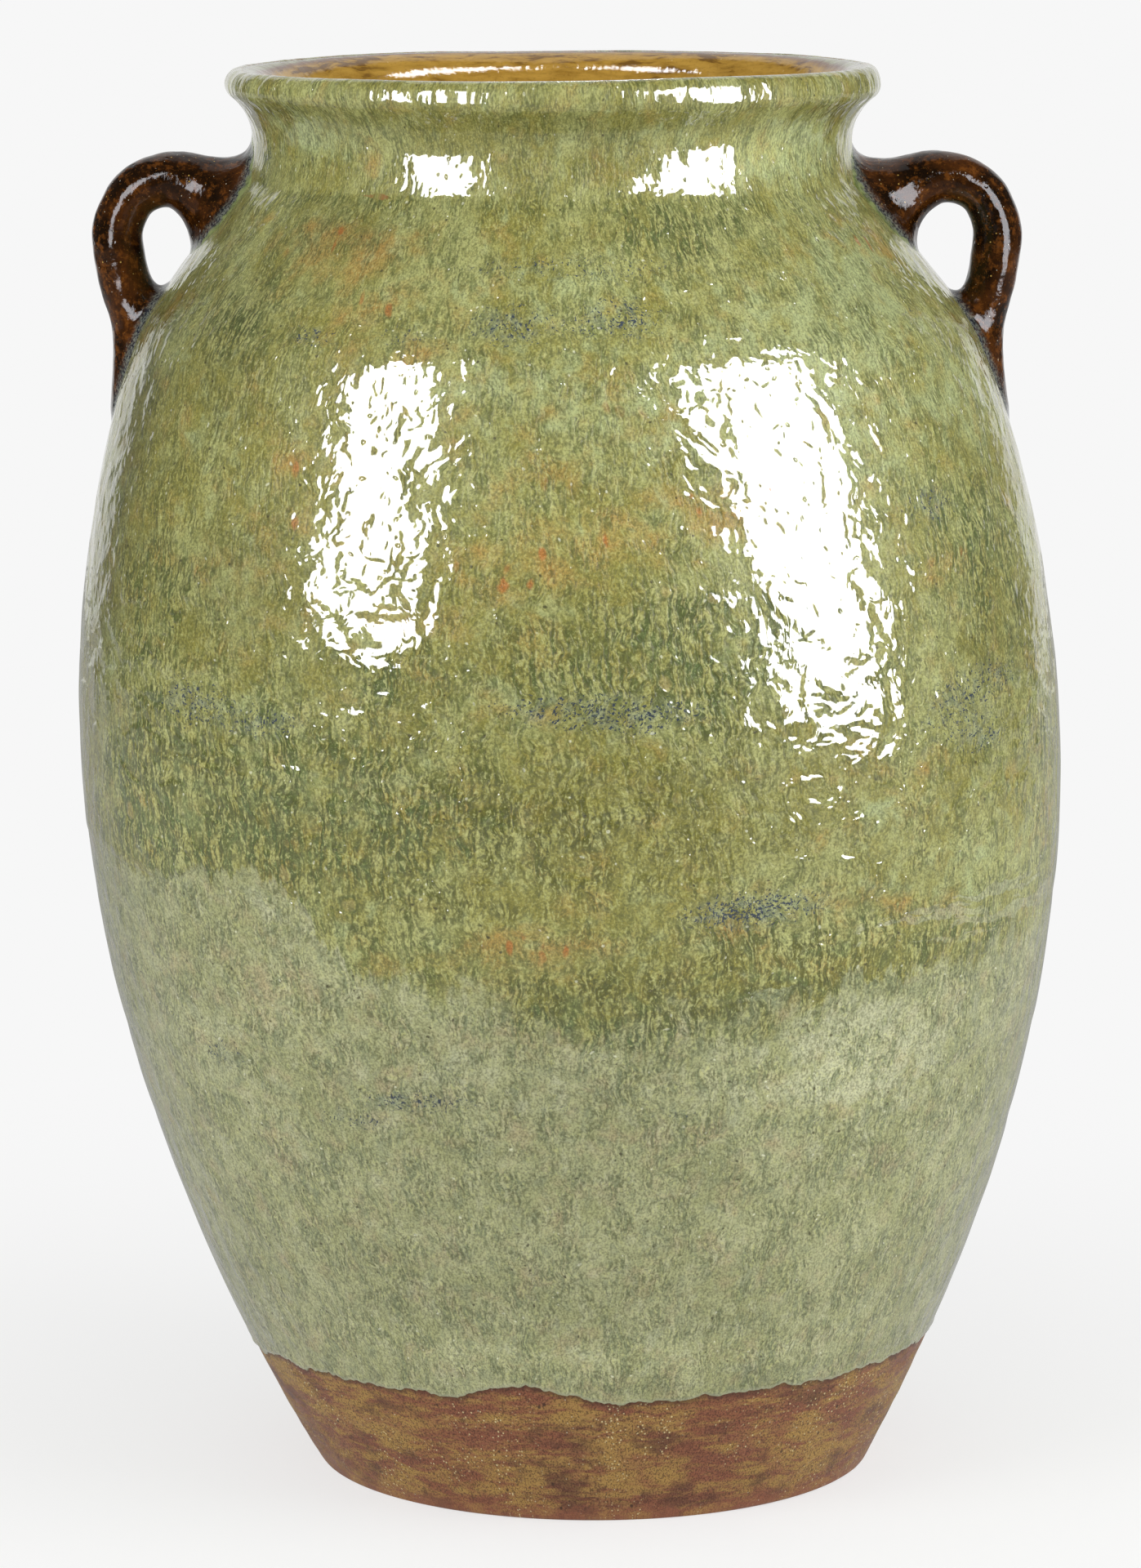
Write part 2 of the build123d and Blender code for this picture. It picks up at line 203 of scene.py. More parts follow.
outside = Profile(
    arc(lower_wall, LOWER_WALL_ARC, FOOT_JOIN, LOWER_WALL_JOIN),
    arc(lower_belly, LOWER_BELLY_ARC, LOWER_WALL_JOIN, 0),
    arc(upper_belly, UPPER_BELLY_ARC, 0, SHOULDER_TURN_JOIN),
    arc(shoulder_turn, SHOULDER_TURN_ARC, SHOULDER_TURN_JOIN, SHOULDER_JOIN),
    arc(neck_foot, -NECK_FOOT_ARC, SHOULDER_JOIN, 0),
    arc(flare, -FLARE_ARC, 0, -FLARE_TURN),
    arc(lip, LIP, -FLARE_TURN, INNER_JOIN),
)
inside = Profile(
    arc(inner_flare, INNER_FLARE_ARC, INNER_JOIN, pi),
    arc(inner_foot, -INNER_FOOT_ARC, 0, SHOULDER_JOIN, -1),
    arc(shoulder_turn, SHOULDER_TURN_ARC - WALL, SHOULDER_JOIN, SHOULDER_TURN_JOIN, -1),
    arc(upper_belly, UPPER_BELLY_ARC - WALL, SHOULDER_TURN_JOIN, 0, -1),
    arc(lower_belly, LOWER_BELLY_ARC - WALL, 0, LOWER_WALL_JOIN, -1),
    arc(lower_wall, INNER_WALL_ARC, LOWER_WALL_JOIN, CORNER_JOIN, -1),
    arc(corner, FLOOR_CORNER_ARC, CORNER_JOIN, -pi / 2, -1),
    np.array([[0.004, FLOOR, 0.0, 1.0]]),
)
OUTSIDE_END = outside.length[-1]
INSIDE_END = inside.length[-1]


# Smooth noise and masks


def gradient_noise(points, size, seed):
    """Smooth noise of about -1 to 1 at the points, with features of that size."""
    random = np.random.default_rng(seed)
    table = random.permutation(256)
    slopes = random.normal(size=(256, 3))
    slopes /= np.linalg.norm(slopes, axis=1)[:, None]
    place = np.asarray(points, float) / size
    cell = np.floor(place).astype(int)
    part = place - cell
    fade = part**3 * (part * (part * 6 - 15) + 10)
    total = np.zeros(place.shape[:-1])
    for step in product((0, 1), repeat=3):
        c = (cell + step) & 255
        pick = table[(table[(table[c[..., 0]] + c[..., 1]) & 255] + c[..., 2]) & 255]
        share = np.prod(np.where(step, fade, 1 - fade), axis=-1)
        total += share * np.sum(slopes[pick] * (part - step), axis=-1)
    return 1.7 * total


def smooth_step(low, high, value):
    """0 at the low value and 1 at the high one, eased between them."""
    t = np.clip((value - low) / (high - low), 0, 1)
    return t * t * (3 - 2 * t)


def at_least(value, floor, soft):
    """The value, eased so that it never falls below the floor."""
    return floor + soft * np.logaddexp(0, (value - floor) / soft)


def bell(away, width):
    """1 where the distance is nothing, falling off smoothly over the width."""
    return np.exp(-((away / width) ** 2))


def turned(a, b):
    """Difference of two turns in degrees, from -180 to 180."""
    return (a - b + 180) % 360 - 180


def patches(turn, height, places):
    """Sum of soft patches, each a turn, a height in mm, half sizes in degrees and mm, and a weight."""
    total = np.zeros(np.broadcast(turn, height).shape)
    for t, z, half_turn, half_height, weight in places:
        away = (turned(turn, t) / half_turn) ** 2 + ((height * 1000 - z) / half_height) ** 2
        total += weight * np.exp(-away)
    return total


def flow(turn, s):
    """Flow coordinates: round the girth without a seam, and along the profile."""
    a = np.radians(turn)
    girth = (FLOW_RADIUS * np.cos(a), FLOW_RADIUS * np.sin(a))
    return np.stack(np.broadcast_arrays(*girth, s), axis=-1)


# Lower edges of the two coats, as turn in degrees and height in mm

FOOT_LINE = (
    (-180, 57), (-160, 54), (-142, 58), (-125, 55), (-108, 57), (-90, 52), (-73, 50), (-61, 54), (-48, 54),
    (-38, 54), (-30, 55), (-22, 54), (-16, 60), (-8, 61), (-3, 57), (5, 54), (14, 55), (21, 56), (31, 56),
    (39, 55), (51, 56), (66, 56), (82, 54), (97, 58), (113, 56), (130, 60), (148, 55), (165, 58),
)
DIP_LINE = (
    (-180, 222), (-165, 231), (-150, 247), (-138, 250), (-126, 240), (-112, 236), (-98, 246), (-84, 258),
    (-72, 259), (-64, 257), (-54, 255), (-47, 262), (-42, 264), (-36, 263), (-32, 255), (-30, 245),
    (-26, 231), (-19, 225), (-10, 219), (-1, 206), (9, 209), (18, 211), (29, 214), (33, 229), (40, 223),
    (47, 226), (55, 225), (65, 226), (80, 231), (95, 240), (108, 236), (122, 220), (138, 214), (150, 226),
    (165, 228),
)


def line_height(turn, table, seed, size, amount):
    """Height of a coat's lower edge round the jar, eased between its places and roughened."""
    places = np.array(table, float)
    around = np.r_[places[:, 0] - 360, places[:, 0], places[:, 0] + 360]
    dense = np.linspace(-540, 540, 4321)
    window = np.hanning(9)
    level = np.interp(dense, around, np.tile(places[:, 1], 3))
    level = np.convolve(level, window / window.sum(), mode="same")
    rough = 0
    for step, (weight, finer) in enumerate(((1, 1), (0.5, 2.7), (0.4, 6))):
        rough = rough + weight * gradient_noise(flow(turn, 0.01 * step), size / finer, seed + step)
    return (np.interp(turn, dense, level) + amount * rough) / 1000


def foot_line(turn):
    return line_height(turn, FOOT_LINE, 11, 0.012, 1.7)


def dip_line(turn):
    return line_height(turn, DIP_LINE, 13, 0.016, 1.6)


def edge_fade(turn):
    """Length over which the second coat's edge fades out: long in front, else short and crisp."""
    front = 1 - smooth_step(12, 33, np.abs(turned(turn, 4)))
    side = turned(turn, 0)
    right = smooth_step(36, 60, side) * smooth_step(130, 90, side)
    return CRISP_FADE + FRONT_FADE * front + SIDE_FADE * right


# Relief


def relief(turn, s, height):
    """How far the fired surface stands out from its profile."""
    place = flow(turn, s)
    lumps = 0
    for stand, size, squeeze, seed in LUMPS:
        lumps = lumps + stand * gradient_noise(place * [1, 1, squeeze], size, seed)
    rings = gradient_noise(place * [0.05, 0.05, 1], 0.016, 24)
    lumps += 0.00016 * rings * smooth_step(0.06, 0.11, height)
    wander = 0.004 * gradient_noise(place * [1, 1, 0], 0.12, 25)
    for level, depth in GROOVES:
        lumps -= depth * bell(height - level - wander, GROOVE_WIDTH)
    return lumps


def crease(turn, height):
    """Groove round the foot of the neck, deepest to the front left."""
    wander = 0.0012 * gradient_noise(flow(turn, 0.0), 0.06, 31)
    side = turned(turn, 0)
    depth = 0.00035 + 0.00015 * smooth_step(70, -20, side) * smooth_step(-150, -80, side)
    return -depth * bell(height - CREASE_HEIGHT - wander, CREASE_WIDTH)


def lip_wave(turns, height):
    """The lip isn't quite level: it rises and dips a little, and its top stands higher in front."""
    wave = 0.00045 * gradient_noise(flow(turns, 0.0), 0.11, 71)
    a = np.radians(turns)
    stand = 0.00092 + 0.00115 * np.cos(a) + 0.00100 * np.sin(a) + 0.00023 * np.cos(2 * a)
    top = at_least(stand, -0.0001, 0.0001) * smooth_step(0.5535, 0.5590, height)
    return wave * smooth_step(0.535, 0.552, height) + top


# Meshes


def grid(rows, columns):
    """Turns of the columns as a grid, in degrees from the front."""
    return np.broadcast_to(np.linspace(-180, 180, columns, endpoint=False), (rows, columns))


def place_ring(rows, turns, lift, raised=0):
    """Points of rings: rows of radius, height and normal, pushed out by the lift at every turn."""
    a = np.radians(turns)
    radius = rows[..., 0] + rows[..., 2] * lift
    height = rows[..., 1] + rows[..., 3] * lift + raised
    slide = -LEAN * (np.minimum(rows[..., 1], UPRIGHT_ABOVE) - BELLY_HEIGHT)
    return np.stack([radius * np.sin(a) + slide, -radius * np.cos(a), height], axis=-1)


def ring_faces(rows, columns, closed_rows=True):
    """Quads of a grid that closes round its columns, and also round its rows if asked."""
    last = rows if closed_rows else rows - 1
    j, i = np.meshgrid(np.arange(last), np.arange(columns), indexing="ij")
    up, side = (j + 1) % rows, (i + 1) % columns
    corners = (j * columns + i, j * columns + side, up * columns + side, up * columns + i)
    return np.stack(corners, axis=-1).reshape(-1, 4).tolist()


def fan(start, columns, hub, flip=False):
    """Triangles from a ring of points to its hub."""
    ring = start + np.arange(columns)
    sides = [ring, np.roll(ring, -1)]
    if flip:
        sides.reverse()
    return np.stack([*sides, np.full(columns, hub)], axis=-1).tolist()


def new_mesh(name, points, faces, material, attributes=None):
    """Object of one mesh, with an attribute for each of the named values."""
    mesh = bpy.data.meshes.new(name)
    mesh.from_pydata(np.reshape(points, (-1, 3)).tolist(), [], faces)
    for key, values in (attributes or {}).items():
        kind, field = ("FLOAT_VECTOR", "vector") if key in VECTORS else ("FLOAT", "value")
        layer = mesh.attributes.new(key, kind, "POINT")
        layer.data.foreach_set(field, np.asarray(values, np.float32).ravel())
    mesh.shade_smooth()
    mesh.materials.append(material)
    mesh.validate()
    piece = bpy.data.objects.new(name, mesh)
    bpy.context.scene.collection.objects.link(piece)
    return piece


# Patches of the glaze: turn, height in mm, half width in degrees, half height in mm, weight

PATCHES = {
    "run": (
        (-56, 292, 14, 30, 1.1), (-45, 286, 12, 26, 0.9), (-30, 300, 10, 26, 0.55),
        (-21, 280, 12, 34, 0.75), (3, 352, 12, 20, 0.75), (16, 352, 8, 30, 1.0), (-9, 292, 10, 30, 0.55),
        (5, 276, 12, 28, 0.35), (24, 234, 12, 20, 1.1), (1, 216, 10, 22, 1.0), (8, 198, 8, 16, 0.6),
        (59, 385, 12, 36, 0.8), (54, 232, 12, 16, 0.6), (-49, 470, 10, 18, 0.7), (19, 503, 9, 9, 0.9),
        (33, 508, 10, 7, 0.5), (-55, 362, 9, 30, 0.8), (-19, 425, 8, 20, 0.3), (-35, 319, 8, 20, 0.5),
        (35, 326, 9, 22, 0.5), (28, 360, 8, 24, 0.5), (10, 470, 12, 16, 0.3), (44, 470, 10, 20, 0.45),
        (-66, 520, 10, 16, 0.4), (-20, 346, 8, 16, 0.55), (70, 300, 12, 40, 0.5), (12, 300, 10, 18, 0.25),
        (-20, 515, 60, 3, 0.7),
    ),
    "warm": (
        (-36, 500, 14, 9, 1.25), (-28, 478, 10, 12, 0.6), (61, 496, 9, 8, 0.6), (1, 417, 11, 13, 0.55),
        (17, 402, 9, 12, 0.7), (-34, 396, 8, 10, 0.6), (-6, 385, 7, 12, 0.9), (6, 392, 7, 9, 0.7),
        (-32, 420, 9, 12, 0.5), (-1, 248, 8, 12, 0.6), (20, 249, 5, 4, 0.9), (-11, 241, 6, 9, 0.45),
        (54, 378, 7, 12, 0.6), (37, 250, 9, 12, 0.5), (16, 165, 8, 14, 0.35), (-38, 217, 9, 14, 0.4),
        (26, 412, 7, 10, 0.55), (8, 444, 10, 10, 0.45), (-20, 455, 10, 12, 0.35), (-12, 300, 9, 10, 0.25),
        (40, 300, 9, 12, 0.35), (-10, 515, 90, 5, -1.2), (0, 508, 14, 5, 0.25), (-14, 361, 9, 10, 0.4),
        (-45, 375, 8, 10, 0.4), (-52, 236, 9, 16, 0.3), (-30, 190, 12, 14, 0.2), (40, 180, 12, 18, 0.15),
    ),
    "blue": (
        (-6, 473, 6, 7, 0.9), (9, 475, 6, 7, 1.0), (-47, 327, 6, 9, 1.0), (-36, 324, 5, 6, 0.8),
        (56, 333, 7, 7, 1.0), (54, 312, 6, 7, 0.8), (1, 334, 9, 6, 1.0), (9, 331, 6, 6, 0.8),
        (22, 258, 7, 6, 1.1), (-20, 181, 7, 4, 1.0), (-29, 171, 5, 4, 0.7), (-69, 528, 3, 3, 1.1),
        (-48, 189, 4, 6, 0.7), (50, 401, 5, 8, 0.7), (3, 493, 22, 6, 0.45), (-35, 467, 4, 4, 0.8),
        (18, 255, 6, 5, 0.9), (-21, 468, 5, 6, 0.45), (10, 177, 6, 3, 0.4), (48, 324, 6, 8, 0.7),
        (-58, 200, 5, 6, 0.35), (30, 170, 4, 4, 0.3), (62, 104, 4, 4, 0.4), (-2, 180, 5, 2, 0.4),
        (60, 470, 3, 3, 0.4),
    ),
    "mint": (
        (3, 487, 16, 9, 0.6), (52, 488, 10, 14, 0.8), (38, 470, 16, 16, 0.45), (-9, 452, 9, 10, 0.35),
        (-24, 304, 10, 12, 0.4), (35, 288, 9, 12, 0.35), (-51, 537, 12, 8, 0.9), (54, 533, 12, 10, 0.9),
        (40, 525, 14, 8, 0.5), (-39, 327, 7, 9, 0.6), (-7, 340, 8, 7, 0.5), (65, 439, 10, 18, 0.6),
        (-13, 520, 8, 10, 0.3), (12, 540, 22, 5, 0.35), (-50, 428, 9, 14, 0.4), (38, 416, 9, 12, 0.3),
        (-64, 460, 8, 16, 0.4), (-30, 250, 8, 8, 0.5), (50, 264, 12, 14, 0.5), (60, 210, 14, 14, 0.3),
        (8, 240, 8, 8, 0.15), (-70, 340, 10, 30, 0.3), (36, 188, 15, 22, 0.95), (22, 440, 20, 26, 0.35),
        (46, 450, 18, 36, 0.4), (34, 210, 8, 8, 0.5), (-10, 190, 14, 12, 0.3), (0, 80, 50, 14, 0.25),
        (-40, 200, 14, 22, 0.25), (2, 450, 16, 18, 0.35),
    ),
    "olive": (
        (-40, 440, 20, 26, 0.5), (-20, 400, 22, 30, 0.35), (0, 300, 26, 22, 0.45), (14, 290, 20, 20, 0.4),
        (-4, 262, 20, 18, 0.7), (12, 226, 22, 14, 0.9), (30, 236, 14, 12, 0.5), (-48, 300, 18, 26, 0.45),
        (-6, 360, 24, 22, 0.3), (25, 330, 14, 24, 0.3), (-10, 530, 30, 14, 0.35), (-60, 400, 14, 34, 0.4),
        (0, 548, 40, 5, 0.2),
    ),
    # How much lighter or darker a place is: partly tone, partly painted light and shade, lighter on the
    # right side and darker along the left edge and in a band under the lip
    "painted_light_and_tone": (
        (42, 530, 16, 16, 0.12), (34, 470, 14, 40, 0.05), (-74, 330, 12, 120, -0.12),
        (52, 330, 9, 40, -0.07), (-38, 505, 14, 12, -0.22), (-52, 465, 12, 34, -0.22),
        (-42, 375, 12, 26, -0.2), (0, 400, 14, 20, 0.12), (32, 190, 16, 22, 0.3), (28, 236, 14, 10, 0.1),
        (0, 74, 46, 11, 0.26), (0, 130, 34, 30, 0.04), (62, 345, 12, 44, -0.18), (0, 262, 22, 26, 0.1),
        (-58, 288, 14, 22, 0.1), (0, 545, 200, 4, -0.16), (-46, 160, 20, 60, 0.1), (42, 536, 14, 10, 0.16),
        (-70, 420, 8, 95, -0.46), (72, 240, 26, 150, 0.22), (40, 130, 26, 56, 0.16), (8, 480, 12, 24, 0.12),
        (36, 230, 12, 20, 0.1), (-34, 228, 22, 32, 0.1),
    ),
    "thin": (
        (56, 246, 22, 10, 1.0), (-62, 250, 14, 6, 0.35), (20, 226, 8, 6, 0.4),
    ),
}


# Noise in place of patches behind: weight, values it is eased between, stretch, size, seed, share low down
SPREADS = {
    "run": (0.9, 0.0, 0.65, 0.8, 0.050, 41, 0),
    "warm": (0.8, 0.05, 0.7, 1.4, 0.045, 42, 0.35),
    "blue": (0.85, 0.46, 0.74, 1.7, 0.036, 43, 1),
    "mint": (0.8, 0.1, 0.8, 1, 0.048, 44, 1),
    "olive": (0.6, -0.1, 0.6, 1, 0.085, 45, 0),
}


def zone_masks(turn, s, height):
    """Masks of the glaze by place: patches as seen in front, and noise of the same sort behind.

    One mask is how much lighter or darker a place is, partly tone and partly painted light and shade, and
    thin is where the second coat is thin.
    """
    place = flow(turn, s)
    front = 1 - smooth_step(72, 98, np.abs(turned(turn, 0)))
    level = smooth_step(0.22, 0.27, height)
    masks = {key: patches(turn, height, places) for key, places in PATCHES.items()}
    for key, (weight, low, high, squeeze, size, seed, low_share) in SPREADS.items():
        spread = smooth_step(low, high, gradient_noise(place * [1, 1, squeeze], size, seed))
        spread = weight * spread * (low_share + (1 - low_share) * level)
        masks[key] = front * masks[key] + (1 - front) * spread
    masks["painted_light_and_tone"] += 1.12
    return masks


# Materials


class Shader:
    """Short hand for building the node tree of a material or of the world."""

    def __init__(self, owner, output="OutputMaterial"):
        owner.use_nodes = True
        self.owner = owner
        self.tree = owner.node_tree
        self.tree.nodes.clear()
        self.output = self.node(output)

    def node(self, kind, **options):
        node = self.tree.nodes.new("ShaderNode" + kind)
        for key, value in options.items():
            setattr(node, key, value)
        return node

    def put(self, socket, value):
        """Links a socket to another, or gives it a constant."""
        if isinstance(value, bpy.types.NodeSocket):
            self.tree.links.new(value, socket)
        elif socket.type == "RGBA":
            socket.default_value = (*value, 1)
        else:
            socket.default_value = value

    def made(self, kind, *values, **options):
        """First output of a node with its first inputs filled."""
        node = self.node(kind, **options)
        for socket, value in zip(node.inputs, values):
            self.put(socket, value)
        return node.outputs[0]

    def attribute(self, name):
        node = self.node("Attribute", attribute_name=name)
        return node.outputs["Vector"] if name in VECTORS else node.outputs["Fac"]

    def add(self, a, b):
        return self.made("Math", a, b, operation="ADD")

    def less(self, a, b):
        return self.made("Math", a, b, operation="SUBTRACT")

    def times(self, a, b, clamp=False):
        return self.made("Math", a, b, operation="MULTIPLY", use_clamp=clamp)

    def over(self, a, b):
        return self.made("Math", a, b, operation="DIVIDE")

    def stretch(self, vector, *scale):
        return self.made("VectorMath", vector, scale, operation="MULTIPLY")

    def moved(self, vector, offset, amount):
        """The vector pushed about by a colour noise, by up to that amount each way."""
        shift = self.made("VectorMath", offset, (amount,) * 3, vector, operation="MULTIPLY_ADD")
        return self.made("VectorMath", shift, (amount / 2,) * 3, operation="SUBTRACT")

    def scaled(self, vector, amount):
        node = self.node("VectorMath", operation="SCALE")
        self.put(node.inputs[0], vector)
        self.put(node.inputs["Scale"], amount)
        return node.outputs[0]

    def part(self, vector, axis):
        node = self.node("SeparateXYZ")
        self.put(node.inputs[0], vector)
        return node.outputs[axis]

    def noise(self, vector, scale, detail=2, roughness=0.5, colour=False):
        node = self.node("TexNoise")
        values = {"Vector": vector, "Scale": scale, "Detail": detail, "Roughness": roughness}
        for key, value in values.items():
            self.put(node.inputs[key], value)
        return node.outputs[1] if colour else node.outputs[0]

    def ease(self, value, low, high, to_low=0, to_high=1):
        """One value at the low end and another at the high end, eased between them."""
        return self.made("MapRange", value, low, high, to_low, to_high, interpolation_type="SMOOTHSTEP")

    def mix(self, factor, a, b):
        node = self.node("Mix", data_type="RGBA")
        for key, value in ((0, factor), (6, a), (7, b)):
            self.put(node.inputs[key], value)
        return node.outputs[2]

    def layer(self, base, colour, *shares):
        """The base with a colour over it, by the product of the shares."""
        factor = shares[0]
        for share in shares[1:]:
            factor = self.times(factor, share)
        return self.mix(factor, base, colour)

    def bump(self, height):
        """Normal of a relief given in mm."""
        node = self.node("Bump")
        self.put(node.inputs["Height"], height)
        node.inputs["Strength"].default_value = 1
        node.inputs["Distance"].default_value = 0.001
        return node.outputs[0]

    def spot_gap(self, vector, scale, share, radius):
        """How far inside the edge of a round spot a place is, with spots in a share of the cells."""
        cells = self.node("TexVoronoi", feature="F1")
        self.put(cells.inputs["Vector"], vector)
        cells.inputs["Scale"].default_value = scale
        chance = self.node("SeparateColor")
        self.put(chance.inputs[0], cells.outputs[1])
        size = self.times(self.less(share, chance.outputs[0]), 3 / share, clamp=True)
        return self.less(self.times(size, radius), cells.outputs[0])

    def spots(self, vector, scale, share, radius, soft=0.5):
        """Round spots scattered in a share of the cells, with a radius as a share of the cell."""
        return self.ease(self.spot_gap(vector, scale, share, radius), 0, radius * soft)

    def finish(self, shader, **values):
        """Fills a shader node, shows it and gives the material back."""
        node = self.node(shader)
        for key, value in values.items():
            self.put(node.inputs[key.replace("_", " ")], value)
        self.put(self.output.inputs[0], node.outputs[0])
        return self.owner


def glaze_material():
    """Celadon green glaze: mottled and run colours with a worm texture, under a clear wavy gloss."""
    s = Shader(bpy.data.materials.new("celadon_glaze"))
    at = s.attribute("flow")
    run, warm, blue, mint, olive = (s.attribute(n) for n in ("run", "warm", "blue", "mint", "olive"))
    cover, fade = s.attribute("cover"), s.attribute("fade")

    drift = s.noise(at, 60, colour=True)
    meander = s.moved(at, drift, 0.008)
    worm_at = s.moved(meander, s.noise(s.stretch(at, 1, 1, 0.7), 260, 1, colour=True), 0.0024)
    worms = s.noise(s.stretch(worm_at, 1, 1, 0.17), 560, 1.5)
    fine = s.noise(s.stretch(worm_at, 1, 1, 0.50), 980, 1)
    grain = s.noise(at, 1150, 2, 0.65)
    blotch = s.noise(meander, 36, 4, 0.62)
    dapple = s.noise(s.stretch(worm_at, 1, 1, 0.6), 170, 3, 0.6)
    warm_noise = s.noise(s.stretch(meander, 1, 1, 1.2), 66, 3, 0.6)
    patchy = s.noise(meander, 90)

    # How far the second coat covers: ragged in vertical teeth, and soft where its edge fades
    teeth = s.noise(s.stretch(at, 1, 1, 0.13), 230, 3, 0.65)
    wander = s.times(s.less(s.noise(at, 75, 4, 0.65), 0.5), s.times(fade, 1.6))
    ragged = s.add(s.times(s.less(teeth, 0.5), 0.030), wander)
    bands = s.noise(s.stretch(worm_at, 0.12, 0.12, 1), 190, 3, 0.6)
    ragged = s.add(ragged, s.times(s.attribute("thin"), s.ease(bands, 0.44, 0.56, 0, -0.045)))
    edge_place = s.add(cover, ragged)
    covered = s.ease(s.over(edge_place, fade), -0.25, 0.45)
    hem = s.times(s.ease(edge_place, -0.001, 0.004), s.ease(edge_place, 0.030, 0.006))

    # Second coat, from sage to olive, tan and ochre
    mottle = s.ease(s.add(blotch, s.times(olive, 0.16)), 0.38, 0.62)
    upper = s.mix(mottle, (0.408, 0.420, 0.150), (0.288, 0.266, 0.052))
    upper = s.layer(upper, (0.150, 0.158, 0.040), s.ease(dapple, 0.46, 0.70), 0.50)
    upper = s.layer(upper, (0.465, 0.475, 0.210), s.ease(dapple, 0.48, 0.30), 0.45)
    warmth = s.add(warm_noise, s.times(warm, 0.26))
    upper = s.layer(upper, (0.420, 0.302, 0.076), s.ease(warmth, 0.50, 0.76), 0.80)
    ochre = s.ease(s.add(warmth, s.times(dapple, 0.25)), 0.80, 0.98)
    upper = s.layer(upper, (0.440, 0.240, 0.050), ochre, 0.70)
    minty = s.ease(s.add(s.noise(meander, 100, 3, 0.6), s.times(mint, 0.34)), 0.54, 0.84)
    upper = s.layer(upper, (0.435, 0.500, 0.235), minty, 0.80)

    # First coat, pale sage with pinkish and grey-green clouds
    pale = s.mix(s.ease(blotch, 0.38, 0.62), (0.440, 0.450, 0.235), (0.340, 0.352, 0.160))
    pale = s.layer(pale, (0.430, 0.345, 0.190), s.ease(warmth, 0.48, 0.76), 0.80)
    pale = s.layer(pale, (0.240, 0.275, 0.160), s.ease(dapple, 0.48, 0.70), 0.60)
    pale = s.layer(pale, (0.520, 0.525, 0.340), s.ease(dapple, 0.46, 0.30), 0.40)
    pale = s.layer(pale, (0.520, 0.530, 0.340), minty, 0.75)
    base = s.mix(covered, pale, upper)

    # Dark green lies between the raised streaks, and pools where the glaze has run
    heavy = s.times(s.add(run, s.times(hem, 0.25)), s.add(0.30, s.times(covered, 0.70)))
    gusts = s.ease(s.noise(s.stretch(meander, 1, 1, 0.35), 75), 0.38, 0.58, 0.45, 1)
    sunk = s.times(s.ease(heavy, 0.05, 0.85), gusts)
    loose = s.times(s.ease(patchy, 0.36, 0.62), s.ease(covered, 0, 1, 0.68, 0.58))
    depth = s.times(s.add(s.times(sunk, 0.72), loose), 1, clamp=True)
    pool = s.ease(s.add(worms, s.times(heavy, -0.025)), 0.50, 0.41)
    wet = s.mix(s.ease(olive, 0.1, 0.7), (0.098, 0.128, 0.030), (0.122, 0.120, 0.017))
    base = s.layer(base, s.mix(covered, (0.165, 0.200, 0.100), wet), pool, depth)
    bright = s.mix(covered, (0.520, 0.530, 0.310), (0.440, 0.450, 0.160))
    base = s.layer(base, bright, s.ease(worms, 0.54, 0.66), depth, 0.55)
    damp = s.add(s.noise(meander, 130), s.times(heavy, 0.12))
    base = s.layer(base, (0.110, 0.175, 0.060), s.ease(damp, 0.60, 0.76), s.ease(heavy, 0.3, 1), 0.50)
    ridge = s.made("Math", s.less(worms, 0.5), operation="ABSOLUTE")
    base = s.layer(base, (0.074, 0.080, 0.020), s.ease(ridge, 0.030, 0.004), depth, 0.68)
    # Painted shade in the hollows of the fine grain, and painted light on its crests
    hollow_shade = s.add(0.32, s.times(depth, 0.38))
    base = s.layer(base, (0.078, 0.086, 0.025), s.ease(fine, 0.49, 0.36), hollow_shade)
    crest_light = s.add(0.26, s.times(depth, 0.40))
    base = s.layer(base, (0.540, 0.550, 0.215), s.ease(fine, 0.56, 0.70), crest_light)

    # Domed blisters: tan on top and ringed by a dark line
    blister_gap = s.spot_gap(s.stretch(worm_at, 1, 1, 0.75), 85, 0.13, 0.24)
    on_coat = s.times(covered, s.ease(run, 0.15, 0.70))
    dome = s.times(s.ease(blister_gap, 0, 0.10), on_coat)
    ring = s.times(s.ease(blister_gap, -0.075, -0.020), s.ease(blister_gap, 0.035, 0))
    base = s.layer(base, (0.400, 0.320, 0.120), dome, 0.60)
    base = s.layer(base, (0.085, 0.110, 0.030), ring, on_coat, 0.75)

    # Rust streaks, blue-black speckle, dark pin points, and pale pin points that are painted glints of
    # sparkle as well as pale crystal specks
    rust = s.spots(s.stretch(worm_at, 1, 1, 0.50), 150, 0.55, 0.30)
    rusty = s.ease(s.add(warm, s.times(warm_noise, 0.6)), 0.56, 0.95)
    base = s.layer(base, (0.440, 0.140, 0.024), rust, rusty, 0.82)
    haze = s.ease(s.noise(meander, 210), 0.40, 0.68)
    base = s.layer(base, (0.262, 0.325, 0.250), s.ease(blue, 0.10, 1), haze, 0.45)
    speck = s.ease(s.add(s.noise(worm_at, 800, 2, 0.7), s.times(blue, 0.10)), 0.640, 0.680)
    base = s.layer(base, (0.022, 0.038, 0.075), speck, s.ease(blue, 0.10, 0.40))
    base = s.layer(base, (0.760, 0.770, 0.560), s.spots(worm_at, 300, 0.09, 0.22), 0.70)
    base = s.layer(base, (0.050, 0.042, 0.018), s.spots(meander, 310, 0.12, 0.24), 0.85)
    base = s.layer(base, (0.100, 0.102, 0.036), s.ease(grain, 0.34, 0.56, 0.52, 0))
    base = s.layer(base, (0.600, 0.600, 0.270), s.ease(grain, 0.54, 0.74, 0, 0.34))

